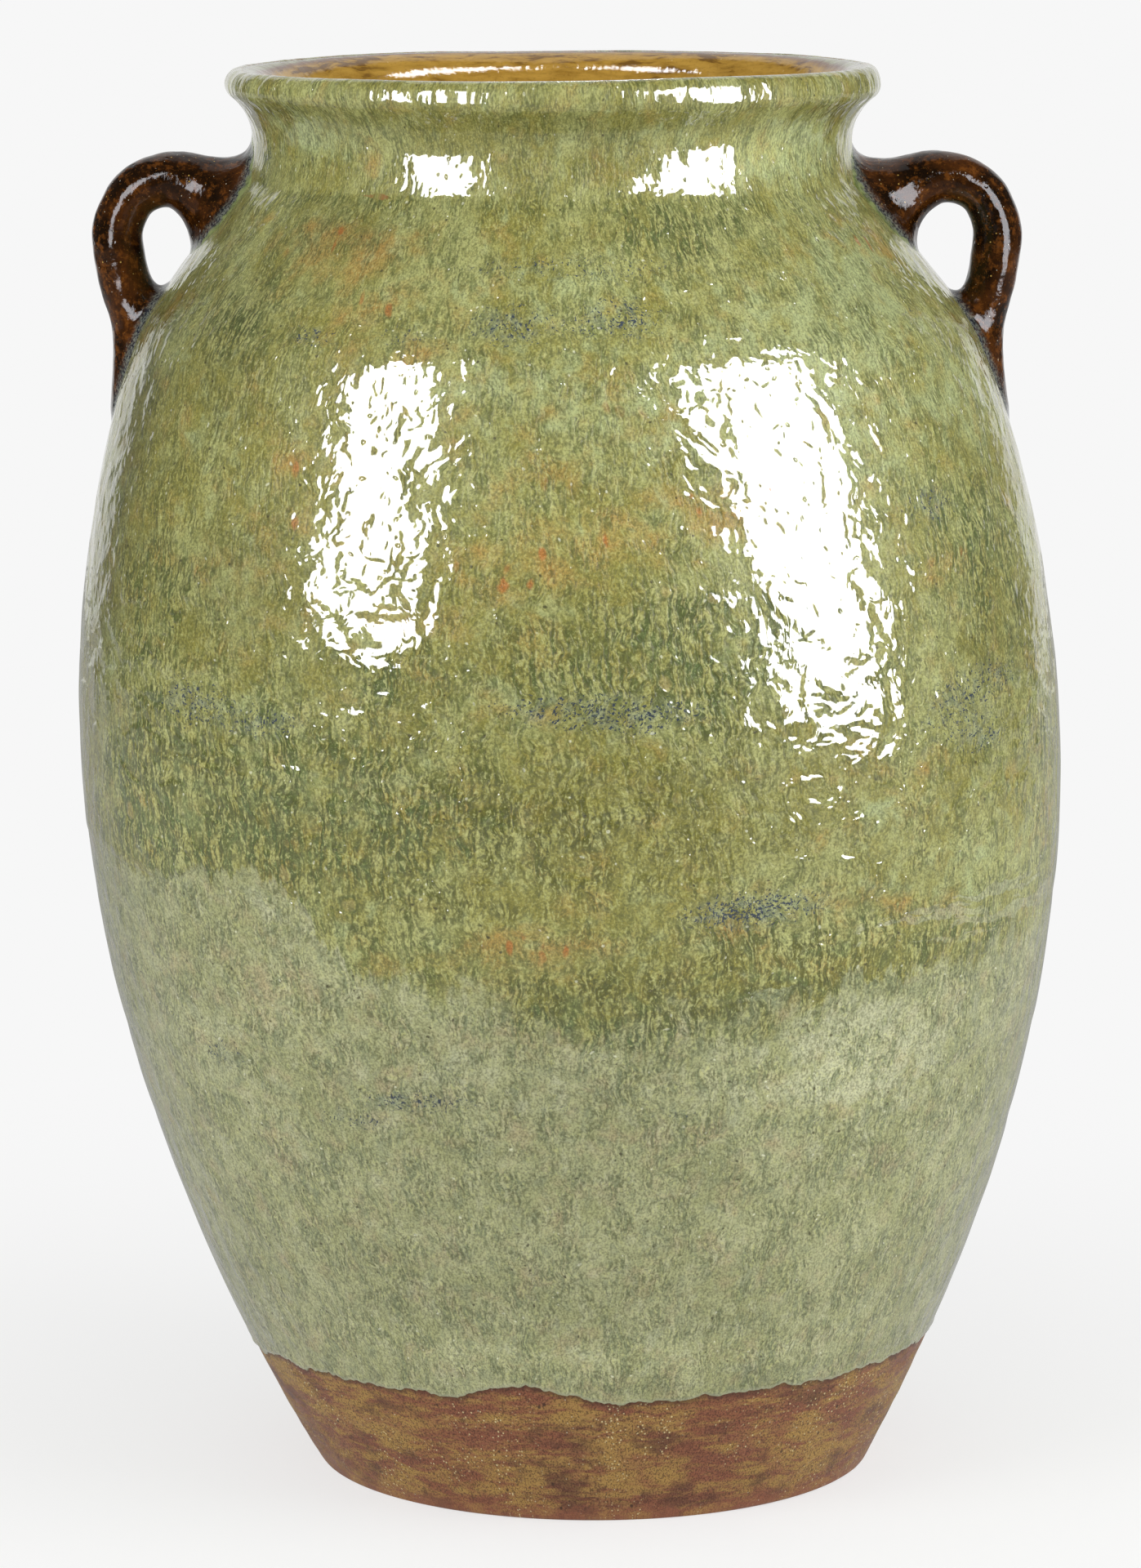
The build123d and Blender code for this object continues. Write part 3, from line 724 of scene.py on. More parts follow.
    # Thin glaze shows browner on the inner edge of the lip, and paler along the foot line
    worn = s.ease(s.noise(meander, 130, 3), 0.44, 0.60)
    base = s.layer(base, (0.260, 0.120, 0.034), s.ease(s.attribute("rim"), 0.80, 1), worn, 0.85)
    base = s.layer(base, (0.460, 0.470, 0.300), s.attribute("edge"), 0.55)
    # Painted light and shade, together with tone: the colour made lighter or darker by place
    base = s.scaled(base, s.attribute("painted_light_and_tone"))

    # Relief of the streaks under the gloss, and the gentler waves and blisters of the gloss, in mm
    under = s.times(s.ease(worms, 0.38, 0.62), s.add(0.05, s.times(depth, 0.32)))
    under = s.add(under, s.times(fine, s.add(0.14, s.times(depth, 0.18))))
    under = s.add(under, s.times(dapple, 0.75))
    gloss = s.times(s.noise(s.moved(at, drift, 0.012), 110), s.ease(patchy, 0.34, 0.62, 0.36, 1))
    gloss = s.add(gloss, s.times(s.noise(at, 55, 1.5, 0.45), 0.90))
    way, neck_way = s.part(at, 2), float(outside.where(0.516))
    neck = s.ease(way, neck_way - 0.010, neck_way + 0.012)
    neck = s.times(neck, s.ease(way, neck_way + 0.034, neck_way + 0.026))
    gloss = s.times(gloss, s.ease(neck, 0, 1, 1, 0.50))
    gloss = s.add(gloss, s.times(dome, 0.30))
    gloss = s.add(gloss, s.times(s.spots(worm_at, 170, 0.60, 0.22, 0.8), -0.30))
    gloss = s.add(gloss, s.times(s.ease(worms, 0.36, 0.60), s.times(sunk, 0.03)))
    return s.finish(
        "BsdfPrincipled",
        Base_Color=base, Roughness=0.45, Specular_IOR_Level=0.12, Normal=s.bump(under),
        Coat_Weight=1, Coat_Roughness=0.035, Coat_IOR=1.6, Coat_Normal=s.bump(gloss),
    )


def clay_material():
    """Bare foot: reddish clay under golden brush streaks, dark where it is damp, with golden mica flecks
    painted bright as their sparkle, and a painted shadow under the glaze edge.
    """
    s = Shader(bpy.data.materials.new("bare_clay"))
    at = s.attribute("flow")
    streak_at = s.stretch(s.moved(at, s.noise(at, 40, colour=True), 0.006), 0.16, 0.16, 1)
    streaks = s.noise(streak_at, 330, 5, 0.7)
    wide = s.noise(s.stretch(at, 0.4, 0.4, 1), 70, 3, 0.6)
    grit = s.noise(at, 1150, 2, 0.6)
    clouds = s.noise(s.stretch(at, 0.5, 0.5, 1), 62, 4, 0.62)
    gilt = s.ease(s.add(s.times(streaks, 0.6), s.times(wide, 0.5)), 0.46, 0.64)
    base = s.mix(gilt, (0.300, 0.104, 0.052), (0.480, 0.285, 0.075))
    base = s.layer(base, (0.130, 0.050, 0.028), s.ease(clouds, 0.48, 0.34), 0.70)
    base = s.layer(base, (0.320, 0.110, 0.062), s.ease(s.noise(at, 46, 3), 0.54, 0.70), 0.55)
    base = s.layer(base, (0.060, 0.026, 0.014), s.ease(grit, 0.34, 0.56, 0.75, 0))
    base = s.layer(base, (0.480, 0.330, 0.130), s.ease(grit, 0.56, 0.76, 0, 0.34))
    low = s.ease(s.add(s.attribute("height"), s.times(s.noise(at, 90), 0.012)), 0.016, 0.004)
    base = s.layer(base, (0.360, 0.135, 0.070), low, 0.6)
    # Golden mica flecks painted bright: real flecks with painted glints of their sparkle
    glitter = s.ease(s.noise(at, 30), 0.42, 0.58)
    base = s.layer(base, (0.800, 0.680, 0.360), s.spots(at, 520, 0.70, 0.30), glitter, 0.90)
    base = s.layer(base, (0.640, 0.600, 0.440), s.spots(at, 360, 0.10, 0.16), 0.8)
    base = s.layer(base, (0.050, 0.022, 0.014), s.spots(at, 190, 0.12, 0.22), 0.8)
    # Painted shadow under the thick edge of the glaze, along the foot line
    base = s.layer(base, (0.080, 0.030, 0.018), s.ease(s.attribute("gap"), 0.0026, 0), 0.60)
    relief_mm = s.add(s.times(streaks, 0.30), s.times(grit, 0.10))
    rough = s.add(0.36, s.times(s.ease(streaks, 0.4, 0.7), 0.16))
    normal = s.bump(relief_mm)
    return s.finish("BsdfPrincipled", Base_Color=base, Roughness=rough, IOR=1.42, Normal=normal)


def inside_material():
    """Amber glaze inside, with brown brush strokes near the lip and a sage band on its inner edge."""
    s = Shader(bpy.data.materials.new("amber_glaze"))
    at = s.attribute("flow")
    stroke_at = s.stretch(s.moved(at, s.noise(at, 30, colour=True), 0.010), 0.14, 0.14, 1)
    strokes = s.noise(stroke_at, 260, 5, 0.65)
    fine = s.noise(s.stretch(at, 0.5, 0.5, 1), 900, 3, 0.6)
    depth = s.attribute("height")
    near = s.ease(depth, 0, 0.030, 1, 0)
    base = s.mix(s.ease(strokes, 0.35, 0.7), (0.580, 0.340, 0.058), (0.370, 0.200, 0.025))
    base = s.layer(base, (0.200, 0.095, 0.014), s.ease(fine, 0.52, 0.75), 0.35)
    brushed = s.ease(s.add(strokes, s.times(near, 0.12)), 0.60, 0.70)
    base = s.layer(base, (0.090, 0.032, 0.008), brushed, s.add(0.35, s.times(near, 0.5)))
    edge = s.add(depth, s.times(s.noise(at, 120, 3), 0.004))
    base = s.layer(base, (0.150, 0.050, 0.015), s.ease(edge, 0.0125, 0.0085), 0.85)
    sage = s.ease(s.noise(at, 170, 3, 0.6), 0.42, 0.60)
    sage = s.mix(sage, (0.330, 0.345, 0.160), (0.190, 0.150, 0.060))
    base = s.layer(base, sage, s.ease(edge, 0.0085, 0.0065))
    base = s.layer(base, (0.740, 0.560, 0.240), s.spots(at, 240, 0.12, 0.15), 0.6)
    normal = s.bump(s.add(s.times(strokes, 0.10), s.times(s.noise(at, 120), 0.25)))
    return s.finish("BsdfPrincipled", Base_Color=base, Roughness=0.07, IOR=1.55, Normal=normal)


def handle_material():
    """Dark reddish brown glaze, orange where thin, with white dots painted as the glints of mica, and green
    creeping in at the root.
    """
    s = Shader(bpy.data.materials.new("brown_glaze"))
    at = s.attribute("place")
    near, way = s.attribute("near"), s.attribute("way")
    mottle = s.noise(at, 260, 4, 0.65)
    fine = s.noise(at, 900, 3, 0.7)
    base = s.ease(s.noise(at, 62, 3, 0.6), 0.38, 0.68)
    base = s.mix(base, (0.010, 0.004, 0.001), (0.066, 0.021, 0.004))
    thin = s.ease(s.add(mottle, s.times(way, 0.05)), 0.52, 0.70)
    base = s.layer(base, (0.170, 0.055, 0.009), thin, 0.75)
    base = s.layer(base, (0.330, 0.125, 0.018), s.ease(fine, 0.58, 0.74), 0.55)
    base = s.layer(base, (0.009, 0.005, 0.003), s.ease(fine, 0.44, 0.30), 0.75)
    base = s.layer(base, (0.560, 0.360, 0.090), s.spots(at, 420, 0.16, 0.17), 0.9)
    # White dots: painted glints of mica sparkle
    white = s.spots(s.stretch(at, 1.1, 1.1, 1.1), 560, 0.16, 0.16)
    base = s.layer(base, (0.720, 0.660, 0.520), white, 0.8)

    # Blue-black speckle where the two glazes meet, and green on the glaze that crept up
    seam = s.ease(s.add(near, s.times(s.noise(at, 420, 3), 0.0022)), 0.0042, 0.0014)
    dusk = s.mix(s.ease(fine, 0.42, 0.60), (0.016, 0.024, 0.040), (0.230, 0.260, 0.220))
    base = s.layer(base, dusk, seam, 0.75)
    crept = s.add(s.add(near, s.times(way, 0.010)), s.times(s.noise(at, 260, 3), 0.0024))
    green = s.mix(s.ease(mottle, 0.40, 0.62), (0.245, 0.285, 0.110), (0.130, 0.165, 0.050))
    base = s.layer(base, green, s.ease(crept, 0.0026, 0.0016))
    lumps = s.times(s.noise(at, 210), 0.30)
    lumps = s.add(lumps, s.times(s.spots(at, 230, 0.30, 0.24, 0.8), -0.16))
    normal = s.bump(s.add(lumps, s.times(fine, 0.05)))
    return s.finish("BsdfPrincipled", Base_Color=base, Roughness=0.05, IOR=1.30, Normal=normal)


glaze = glaze_material()
clay = clay_material()
amber = inside_material()
brown = handle_material()


# Coats and foot


def masks_of(turns, s, height, lower_edge=None):
    """Attributes of a piece of the green glaze."""
    values = zone_masks(turns, s, height)
    values["flow"] = flow(turns, s)
    values["cover"] = height - dip_line(turns[:1])
    values["fade"] = edge_fade(turns)
    values["rim"] = smooth_step(OUTSIDE_END - 0.0075, OUTSIDE_END - 0.0005, s)
    values["edge"] = 0 if lower_edge is None else smooth_step(0.0026, 0.0008, s - lower_edge)
    return values


def stood_off(turns, s, height, inset):
    """Relief of a coat that stands at an inset from the profile, kept off the clay under it."""
    return at_least(relief(turns, s, height) - inset, LEAST_COVER - GLAZE, 0.00006)


def first_lift(turns, s, height):
    """Lift of the first coat, rounded off and beaded at the foot line."""
    base = stood_off(turns, s, height, DIP_STEP)
    edge = s - outside.where(foot_line(turns[:1]))
    drips = smooth_step(-0.3, 0.6, gradient_noise(flow(turns, 0.0), 0.013, 61))
    bead = BEAD_STAND * bell(edge - BEAD_ABOVE_EDGE, BEAD_WIDTH) * (0.4 + 0.9 * drips)
    rounded = np.sqrt(np.clip(1 - (1 - np.clip(edge / EDGE_ROUND, 0, 1)) ** 2, 0, 1))
    return -EDGE_SINK + (base + bead + EDGE_SINK) * rounded


def second_lift(turns, s, height):
    """Lift of the second coat: its edge starts just under the first coat and rises over its fade."""
    full = stood_off(turns, s, height, 0.0) + crease(turns, height)
    edge = s - outside.where(dip_line(turns[:1]))
    share = smooth_step(0, 1, edge / (0.0015 + 0.7 * edge_fade(turns)))
    lip_thin = smooth_step(OUTSIDE_END - 0.004, OUTSIDE_END, s)
    start = stood_off(turns, s, height, DIP_STEP) - 0.00012 + 0.00018 * smooth_step(0, 0.0016, edge)
    lifted = start + (full - start) * share
    return np.maximum(lifted * (1 - lip_thin) - LIP_START_SINK * lip_thin, LEAST_COVER - GLAZE)


def inner_lift(turns, s, height):
    """Lift of the inner coat, which starts under the lip's edge."""
    place = flow(turns, s)
    waves = 0.00022 * gradient_noise(place, 0.05, 81)
    waves += 0.00012 * gradient_noise(place * [0.05, 0.05, 1], 0.014, 82)
    start = smooth_step(0.006, 0.0, s)
    return waves * (1 - start) - LIP_START_SINK * start


def skin(name, profile, columns, ends, shares, back_shares, lift, masks, material, hubs=None):
    """Closed skin of a coat: its face by shares of the way between two ends, then its back.

    With hubs, the face and the back each end in a fan instead of meeting there.
    """
    low, high = ends
    sizes = (len(shares), len(back_shares))
    turns, back_turns = (grid(size, columns) for size in sizes)
    s, back_s = (low + (high - low) * part[:, None] for part in (shares, back_shares))
    face, back = profile.at(s), profile.at(back_s)
    height = face[..., 1]
    outer = place_ring(face, turns, lift(turns, s, height), lip_wave(turns, height))
    depth = np.full(back_turns.shape, -COAT_BACK)
    inner = place_ring(back, back_turns, depth, 0.6 * lip_wave(back_turns, back[..., 1]))
    points = np.concatenate([outer, inner]).reshape(-1, 3)
    faces = ring_faces(sum(sizes), columns)
    data = {}
    for key, value in masks(turns, s, height).items():
        value = np.broadcast_to(value, turns.shape + ((3,) if key in VECTORS else ()))
        tail = np.broadcast_to(value[-1:], back_turns.shape + value.shape[2:])
        data[key] = np.concatenate([value, tail]).reshape(len(points), -1)
    if hubs is not None:
        last, first = (sizes[0] - 1) * columns, sizes[0] * columns
        faces = [corners for corners in faces if not last <= corners[0] < first]
        faces += fan(last, columns, len(points)) + fan(first, columns, len(points) + 1, flip=True)
        points = np.concatenate([points, hubs])
        data = {key: np.concatenate([value, value[[last, first]]]) for key, value in data.items()}
    return new_mesh(name, points, faces, material, data)


def first_coat_piece():
    """Pale coat, from the foot line to under the second coat."""
    columns = 800
    turn = grid(1, columns)
    low, high = outside.where(foot_line(turn)), outside.where(dip_line(turn) + 0.010)
    shares = np.r_[np.linspace(0, 0.004, 3), np.linspace(0.0095, 0.03, 7), np.linspace(0.04, 1, 94)]

    def masks(turns, s, height):
        return masks_of(turns, s, height, low)

    back_shares = np.linspace(1, 0, 10)
    return skin(
        "first_coat", outside, columns, (low, high), shares, back_shares, first_lift, masks, glaze
    )


def second_coat_piece():
    """Greener coat, from the dip line up over the lip."""
    columns = 480
    ends = (outside.where(dip_line(grid(1, columns))), OUTSIDE_END)
    spans = ((0, 0.10, 28), (0.10, 0.74, 92), (0.74, 0.89, 26), (0.89, 1, 36))
    shares = np.unique(np.concatenate([np.linspace(*span) for span in spans]))
    back_shares = np.unique(np.r_[np.linspace(0, 0.8, 8), np.linspace(0.8, 1, 12)])[::-1]
    return skin(
        "second_coat", outside, columns, ends, shares, back_shares, second_lift, masks_of, glaze
    )


def inner_coat_piece():
    """Amber skin down the inside to the middle of the floor."""
    shares = np.unique(np.r_[np.linspace(0, 0.06, 26), np.linspace(0.06, 1, 90)])

    def masks(turns, s, height):
        # The sage band is narrower inside the far lip
        return {"flow": flow(turns, s), "height": s + 0.006 * smooth_step(100, 150, np.abs(turns))}

    middle = LEAN * (BELLY_HEIGHT - FLOOR)
    hubs = [[middle, 0, FLOOR], [middle, 0, FLOOR - COAT_BACK]]
    ends, back_shares = (0, INSIDE_END), np.linspace(1, 0, 14)
    return skin(
        "inner_coat", inside, 320, ends, shares, back_shares, inner_lift, masks, amber, hubs
    )


def under_glaze(rows):
    """Rows of a section moved in by the glaze."""
    rows[:, :2] -= GLAZE * rows[:, 2:]
    return rows


def bare_foot_piece():
    """Bare clay: standing face, foot, wall up to the seam at the belly, and the inside under the glaze."""
    columns = 480
    low = foot_edge[0] + sqrt(FOOT_EDGE_ARC**2 - foot_edge[1] ** 2)
    base = np.array([[r, 0, 0, -1] for r in (0.03, 0.075, low - 0.002, low)])
    bearing = np.linspace(-pi / 2, FOOT_JOIN, 9)[1:]
    way = np.c_[np.cos(bearing), np.sin(bearing)]
    edge = np.c_[np.array(foot_edge) + FOOT_EDGE_ARC * way, way]
    edge = edge[edge[:, 1] > 0.0002][:-1]
    seam = float(outside.where(BELLY_HEIGHT))
    wall_s = np.unique(np.r_[np.linspace(0, 0.075, 46), np.linspace(0.075, seam, 40)])
    wall = under_glaze(outside.at(wall_s))
    inner_seam = inside.length[np.argmax(inside.rows[:, 1] < BELLY_HEIGHT)]
    inner = under_glaze(inside.at(INSIDE_END - np.linspace(0.004, INSIDE_END - inner_seam, 60))[::-1])
    rows = np.vstack([base, edge, wall, inner])
    turns = grid(len(rows), columns)
    height = rows[:, 1][:, None]
    outer = len(base) + len(edge)
    s = np.r_[rows[:outer, 0] - low, wall_s, np.full(len(inner), 0.3)][:, None]
    ramp = (np.zeros(len(base)), np.linspace(0, 1, len(edge)), np.ones(len(wall)), np.zeros(len(inner)))
    on_wall = np.concatenate(ramp)[:, None]

    # Relief of the wall, and brush marks that fade out above the foot line
    lift = at_least(relief(turns, s, height), -0.0007, 0.00008) * smooth_step(0.30, 0.26, height)
    rubs = gradient_noise(flow(turns, s) * [0.12, 0.12, 1], 0.006, 91)
    rubs = 0.00018 * rubs * smooth_step(0.070, 0.055, height)
    full = np.broadcast_to(rows[:, None, :], turns.shape + (4,))
    points = place_ring(full, turns, lift * on_wall + rubs * on_wall)
    points[: len(base), :, 2] = 0

    count = turns.size
    faces = ring_faces(len(rows), columns, closed_rows=False)
    faces += fan(0, columns, count, flip=True) + fan(count - columns, columns, count + 1)
    centre = LEAN * BELLY_HEIGHT
    hubs = [[centre, 0, 0], [centre - LEAN * FLOOR, 0, rows[-1, 1]]]
    flow_at = flow(turns, s).reshape(-1, 3)
    data = {
        "flow": np.concatenate([flow_at, flow_at[[0, -1]]]),
        "height": np.r_[np.broadcast_to(height, turns.shape).ravel(), 0, FLOOR],
        # gap is how far a place lies under the foot line, for the painted shadow of the glaze edge
        "gap": np.r_[(foot_line(turns[:1]) - height).ravel(), 1, 1],
    }
    return new_mesh("bare_foot", np.concatenate([points.reshape(-1, 3), hubs]), faces, clay, data)


# Handles


def spline(points, per_span):
    """Catmull-Rom curve through rows of numbers, with their values."""
    p = np.array(points, float)
    p = np.vstack([2 * p[0] - p[1], p, 2 * p[-1] - p[-2]])
    t = np.linspace(0, 1, per_span, endpoint=False)[:, None]
    out = []
    for a, b, c, d in zip(p, p[1:], p[2:], p[3:]):
        bend = (2 * a - 5 * b + 4 * c - d) * t**2 + (3 * b - a - 3 * c + d) * t**3
        out.append(0.5 * (2 * b + (c - a) * t + bend))
    return np.vstack([*out, p[-2]])


def handle_line(finger_gap, thickness):
    """Centre line of a handle in the (radius, height) plane with its half sizes."""
    root = np.array(off(neck_foot, -NECK_FOOT_ARC, SHOULDER_JOIN))
    tail_reach = sqrt(UPPER_BELLY_ARC**2 - (TAIL_HEIGHT - BELLY_HEIGHT) ** 2)
    tail = np.array([upper_belly[0] + tail_reach, TAIL_HEIGHT])
    length = np.linalg.norm(tail - root)
    along = (tail - root) / length
    out = np.array([-along[1], along[0]])
    outward = atan2(along[0], -along[1])
    centre, reach = upper_belly, UPPER_BELLY_ARC
    if outward > SHOULDER_TURN_JOIN:
        centre, reach = shoulder_turn, SHOULDER_TURN_ARC
    crown = off(centre, reach, outward)
    bulge = (crown[0] - root[0]) * cos(outward) + (crown[1] - root[1]) * sin(outward)
    stand = bulge + finger_gap + thickness / 2
    rows = []
    for way, lift, thick, wide in HANDLE_STATION_SHARES:
        place = root + way * length * along + lift * stand * out
        rows.append((*place, thick * thickness / 2, wide * HANDLE_WIDTH / 2))
    return spline(rows, 34)


def nearest(points, line):
    """Index of the nearest point of the line for each point, in slices that fit in memory."""
    found = []
    for part in np.array_split(points, len(points) // 40000 + 1):
        away = (part[:, None, 0] - line[None, :, 0]) ** 2 + (part[:, None, 1] - line[None, :, 1]) ** 2
        found.append(np.argmin(away, axis=1))
    return np.concatenate(found)


def body_distance(radius, height):
    """Signed distance of places in the half section to the glazed outside, negative within it."""
    line = outside.at(np.linspace(outside.where(0.30), OUTSIDE_END, 420))
    flat = np.c_[radius.ravel(), height.ravel()]
    near = line[nearest(flat, line)]
    away = np.sum((flat - near[:, :2]) * near[:, 2:], axis=1)
    return away.reshape(radius.shape)


def tube_distance(x, y, z, line):
    """Signed distance to a tube of oval sections along the line, and the way along it.

    x and z are places in the plane of the line, and y, out of it, is broadcast against them.
    """
    flat = np.c_[x.ravel(), z.ravel()]
    k = nearest(flat, line)
    step = np.gradient(line[:, :2], axis=0)
    step /= np.linalg.norm(step, axis=1)[:, None]
    gap = flat - line[k, :2]
    across = (gap[:, 1] * step[k, 0] - gap[:, 0] * step[k, 1]).reshape(x.shape)
    past = np.sum(gap * step[k], axis=1)
    past = np.where((k == 0) | (k == len(line) - 1), past, 0).reshape(x.shape)
    thick, wide = line[k, 2].reshape(x.shape), line[k, 3].reshape(x.shape)
    size = np.sqrt(across**2 + y**2 + past**2) + 1e-9
    ratio = np.sqrt((across / thick) ** 2 + (y / wide) ** 2 + (past / thick) ** 2) + 1e-9
    return size * (1 - 1 / ratio), (k / (len(line) - 1)).reshape(x.shape)


def surface_net(field):
    """Vertices, in grid steps, and quads of the zero level of a field: one vertex in each crossed cell."""
    cells = tuple(n - 1 for n in field.shape)
    total, count = np.zeros(cells + (3,)), np.zeros(cells)
    crossings = []
    for axis in range(3):
        first, second = (n for n in range(3) if n != axis)
        moved = np.moveaxis(field, axis, 0)
        near, far = moved[:-1], moved[1:]
        crossed = (near < 0) != (far < 0)
        part = np.where(crossed, near / np.where(crossed, near - far, 1), 0)
        crossings.append((crossed, near < 0))
        totals, counts = np.moveaxis(total, axis, 0), np.moveaxis(count, axis, 0)
        for u, v in product((0, 1), repeat=2):
            window = (slice(None), slice(u, u + cells[first]), slice(v, v + cells[second]))
            hit = crossed[window]
            counts += hit
            totals[..., axis] += hit * part[window]
            totals[..., first] += hit * u
            totals[..., second] += hit * v
    used = count > 0
    number = np.full(cells, -1)
    number[used] = np.arange(used.sum())
    points = np.argwhere(used) + total[used] / count[used][:, None]
    quads = []
    for axis, (crossed, near_inside) in enumerate(crossings):
        numbers = np.moveaxis(number, axis, 0)
        k, u, v = np.argwhere(crossed[:, 1:-1, 1:-1]).T
        corners = ((0, 0), (1, 0), (1, 1), (0, 1))
        quad = np.stack([numbers[k, u + du, v + dv] for du, dv in corners], axis=1)
        flip = near_inside[k, u + 1, v + 1] == (axis == 1)
        quad[flip] = quad[flip][:, ::-1]
        quads.append(quad)
    return points, np.vstack(quads)


def handle_piece(name, side, finger_gap, thickness, seed):
    """Ear handle blended into the shoulder, with its seat hidden under the green glaze."""
    line = handle_line(finger_gap, thickness)
    step = 0.0008
    low = np.array(HANDLE_BOX_LOW)
    far, top = line[:, :2].max(axis=0) + HANDLE_BOX_PAST
    high = np.array([far, -low[1], top])
    axes = [np.arange(a, b, step) for a, b in zip(low, high)]
    x, y, z = np.meshgrid(*axes, indexing="ij")
    tube = tube_distance(x[:, :1], y, z[:, :1], line)[0]
    reach = np.arange(low[0] - 0.001, high[0] + 0.006, step)
    table = body_distance(*np.meshgrid(reach, axes[2], indexing="ij"))
    radius = np.hypot(x[..., 0], y[..., 0])
    body = np.stack([np.interp(radius, reach, column) for column in table.T], axis=-1)

    # The tube and the seat flow into each other, more widely at the root than at the tail
    seat = body + SEAT_SINK
    soft = TAIL_BLEND + (ROOT_BLEND - TAIL_BLEND) * smooth_step(0.470, 0.500, z)
    share = np.clip(0.5 + 0.5 * (seat - tube) / soft, 0, 1)
    joined = seat * (1 - share) + tube * share - soft * share * (1 - share)
    place = np.stack([x, y, z], axis=-1)
    rough = 0.00042 * gradient_noise(place, 0.017, seed)
    rough += 0.00016 * gradient_noise(place, 0.006, seed + 1)
    joined = joined - rough * smooth_step(-0.002, 0.004, body)
    field = np.maximum(np.maximum(joined, -(body + SEAT_DEPTH)), tube - SEAT_REACH)
    points, quads = surface_net(field)
    points = low + points * step
    near = body_distance(np.hypot(points[:, 0], points[:, 1]), points[:, 2])
    way = tube_distance(*points.T, line)[1]
    if side < 0:
        points = points * [-1, 1, 1]
        quads = quads[:, ::-1]
    data = {"place": points + [seed, 0, 0], "near": near, "way": way}
    points[:, 0] -= LEAN * (points[:, 2] - BELLY_HEIGHT)
    return new_mesh(name, points, quads.tolist(), brown, data)


for piece, nodes, slot in (
    (bare_foot_piece(), ("base_slab", "lower_body"), "bare_clay"),
    (first_coat_piece(), ("first_glaze",), "first_glaze"),
    (second_coat_piece(), ("second_glaze",), "second_glaze"),
    (inner_coat_piece(), ("inner_glaze",), "inner_glaze"),
    (handle_piece("left_ear", -1, LEFT_GAP, LEFT_THICKNESS, 101), ("left_handle",), "handle_glaze"),
    (handle_piece("right_ear", 1, RIGHT_GAP, RIGHT_THICKNESS, 131), ("right_handle",), "handle_glaze"),
):
    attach(piece, "root")
    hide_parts(*nodes)

for node in ("upper_body", "neck", "rim"):
    frame["nodes"][node].data.materials.clear()
    frame["nodes"][node].data.materials.append(clay)


# Studio

CARD_COLOUR = (0.97, 0.98, 1.03)
CARD_STRENGTH = 19.0
CARD_DISTANCE = 0.7
MOUTH_CARD_DISTANCE = 0.15
LAMP_DISTANCE = 1.5

# The camera as fitted to the photograph
LENS = 148.17
EYE = (0, -2.553376, 0.70676)
EYE_TILT = 80.371


def aimed(thing, azimuth, elevation, distance, target=JAR_MIDDLE):
    """Places something so that it looks at a target from a direction."""
    a, e = radians(azimuth), radians(elevation)
    back = Vector((sin(a) * cos(e), -cos(a) * cos(e), sin(e)))
    thing.location = Vector(target) + back * distance
    thing.rotation_mode = "QUATERNION"
    thing.rotation_quaternion = back.to_track_quat("Z", "Y")


def softbox(name, azimuth, elevation, distance, width, height, power):
    """Soft lamp for the plain light, which reflections don't see."""
    lamp = bpy.data.lights.new(name, "AREA")
    lamp.shape = "RECTANGLE"
    lamp.size, lamp.size_y, lamp.energy = width, height, power
    body = bpy.data.objects.new(name, lamp)
    body.visible_glossy = False
    bpy.context.scene.collection.objects.link(body)
    aimed(body, azimuth, elevation, distance)


def gloss_card(name, azimuth, elevation, distance, low_edge, high_edge, target=JAR_MIDDLE):
    """Bright card that only reflections see, cut to the light that the glaze mirrors.

    Each edge is given by its left end, its right end and its height on the card.
    """
    s = Shader(bpy.data.materials.new(name + "_light"))
    light = s.finish("Emission", Color=CARD_COLOUR, Strength=CARD_STRENGTH)
    (a, b, low), (c, d, high) = low_edge, high_edge
    card = new_mesh(name, [(a, low, 0), (b, low, 0), (d, high, 0), (c, high, 0)], [(0, 1, 2, 3)], light)
    aimed(card, azimuth, elevation, distance, target)
    for use in ("camera", "diffuse", "shadow", "transmission"):
        setattr(card, "visible_" + use, False)


softbox("left_softbox", -45, 22, LAMP_DISTANCE, 0.86, 0.90, 9.0)
softbox("right_softbox", 63, 20, LAMP_DISTANCE, 1.10, 1.05, 11.0)
gloss_card("left_card", -43, 27, CARD_DISTANCE, (-0.13, 0.13, -0.26), (-0.06, 0.13, 0.20))
gloss_card("right_card", 65, 30, CARD_DISTANCE, (-0.27, 0.08, -0.41), (-0.37, 0.00, 0.18))

# Two small cards over the mouth, for the lights on the far inside wall
for name, azimuth, elevation, half_width, half_height, target in (
    ("mouth_card_right", 84, 57, 0.013, 0.024, (-0.0594, 0.0914, 0.551)),
    ("mouth_card_left", -72, 66, 0.012, 0.014, (0.0286, 0.1067, 0.5527)),
):
    edges = [(-half_width, half_width, end) for end in (-half_height, half_height)]
    gloss_card(name, azimuth, elevation, MOUTH_CARD_DISTANCE, *edges, target)


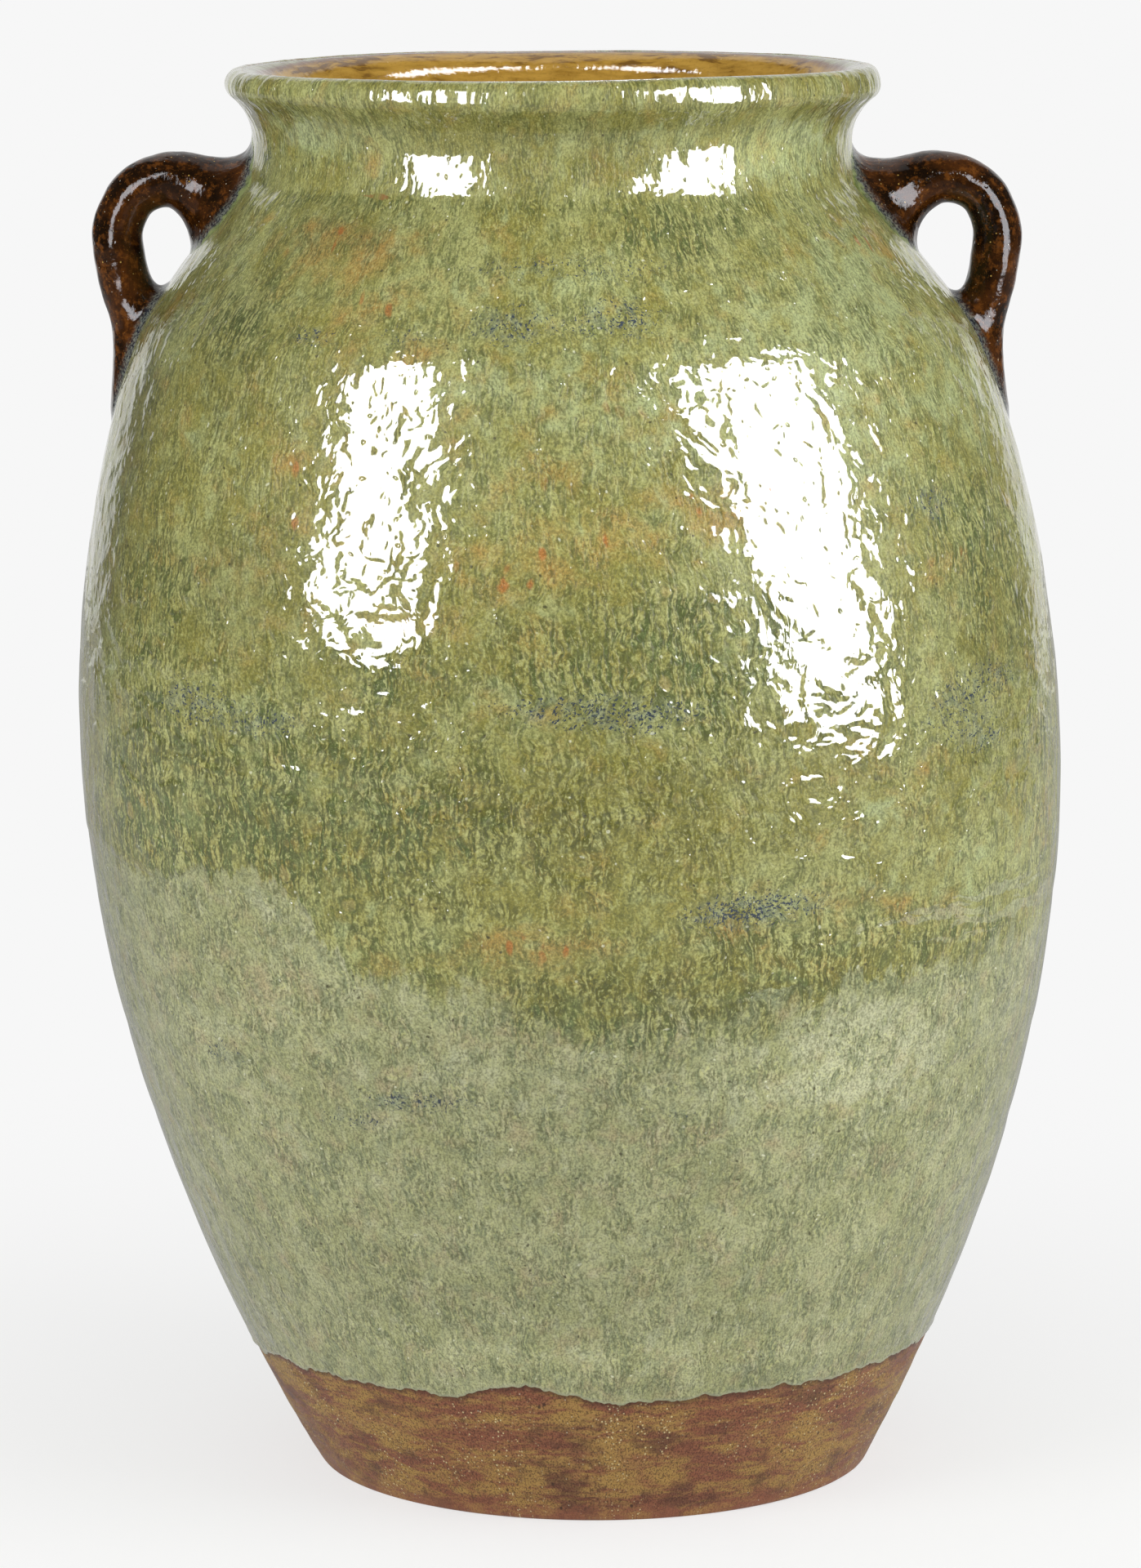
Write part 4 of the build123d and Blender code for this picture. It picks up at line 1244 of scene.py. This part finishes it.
def world():
    """White for the camera, pale to reflect behind the jar, dim in front, and plain fill for the rest."""
    s = Shader(bpy.data.worlds.new("studio"), "OutputWorld")
    way = s.node("TexCoord").outputs["Generated"]
    across, deep = s.part(way, 0), s.part(way, 1)
    level = s.made("Math", s.add(s.times(across, across), s.times(deep, deep)), operation="SQRT")
    behind = s.ease(s.over(deep, s.add(level, 0.001)), 0.79, 0.87, 0.09, 0.84)
    path = s.node("LightPath").outputs
    unseen = s.ease(path["Is Glossy Ray"], 0, 1, 0.52, behind)
    strength = s.ease(path["Is Camera Ray"], 0, 1, unseen, 0.93)
    return s.finish("Background", Color=(1, 1, 1), Strength=strength)


def floor():
    """Plain pale floor that keeps the jar's shadow and fades into the white."""
    columns = 96
    radii = (3.0, 2.0, 1.2, 0.6, 0.25)
    a = np.arange(columns) * 2 * pi / columns
    points = [np.c_[r * np.cos(a), r * np.sin(a), 0 * a] for r in radii] + [np.zeros((1, 3))]
    hub = len(radii) * columns
    faces = ring_faces(len(radii), columns, closed_rows=False) + fan(hub - columns, columns, hub)
    s = Shader(bpy.data.materials.new("floor"))
    reach = s.node("VectorMath", operation="LENGTH")
    s.put(reach.inputs[0], s.node("NewGeometry").outputs["Position"])
    reach = reach.outputs["Value"]
    path = s.node("LightPath").outputs
    bounced = s.ease(path["Is Glossy Ray"], 0, 1, 0.58, 0.40)
    seen = s.ease(reach, 0.14, 0.75, 1.03, 0.93)
    dull = s.made("BsdfDiffuse", (0.88, 0.88, 0.88))
    glow = s.made("Emission", (1, 1, 1), s.ease(path["Is Camera Ray"], 0, 1, bounced, seen))
    both = s.made("MixShader", s.ease(reach, 0.14, 0.75, 0.62, 1), dull, glow)
    s.put(s.output.inputs[0], both)
    piece = new_mesh("floor", np.vstack(points), faces, s.owner)
    piece.location = (0, 0, -0.0002)


bpy.context.scene.world = world()
floor()

camera = bpy.data.cameras.new("camera")
camera.lens = LENS
camera.sensor_width = 36
camera.sensor_fit = "AUTO"
camera.clip_start, camera.clip_end = 0.1, 100
viewer = bpy.data.objects.new("camera", camera)
viewer.location = EYE
viewer.rotation_euler = (radians(EYE_TILT), 0, 0)
bpy.context.scene.collection.objects.link(viewer)
bpy.context.scene.camera = viewer
bpy.context.scene.view_settings.view_transform = "Standard"
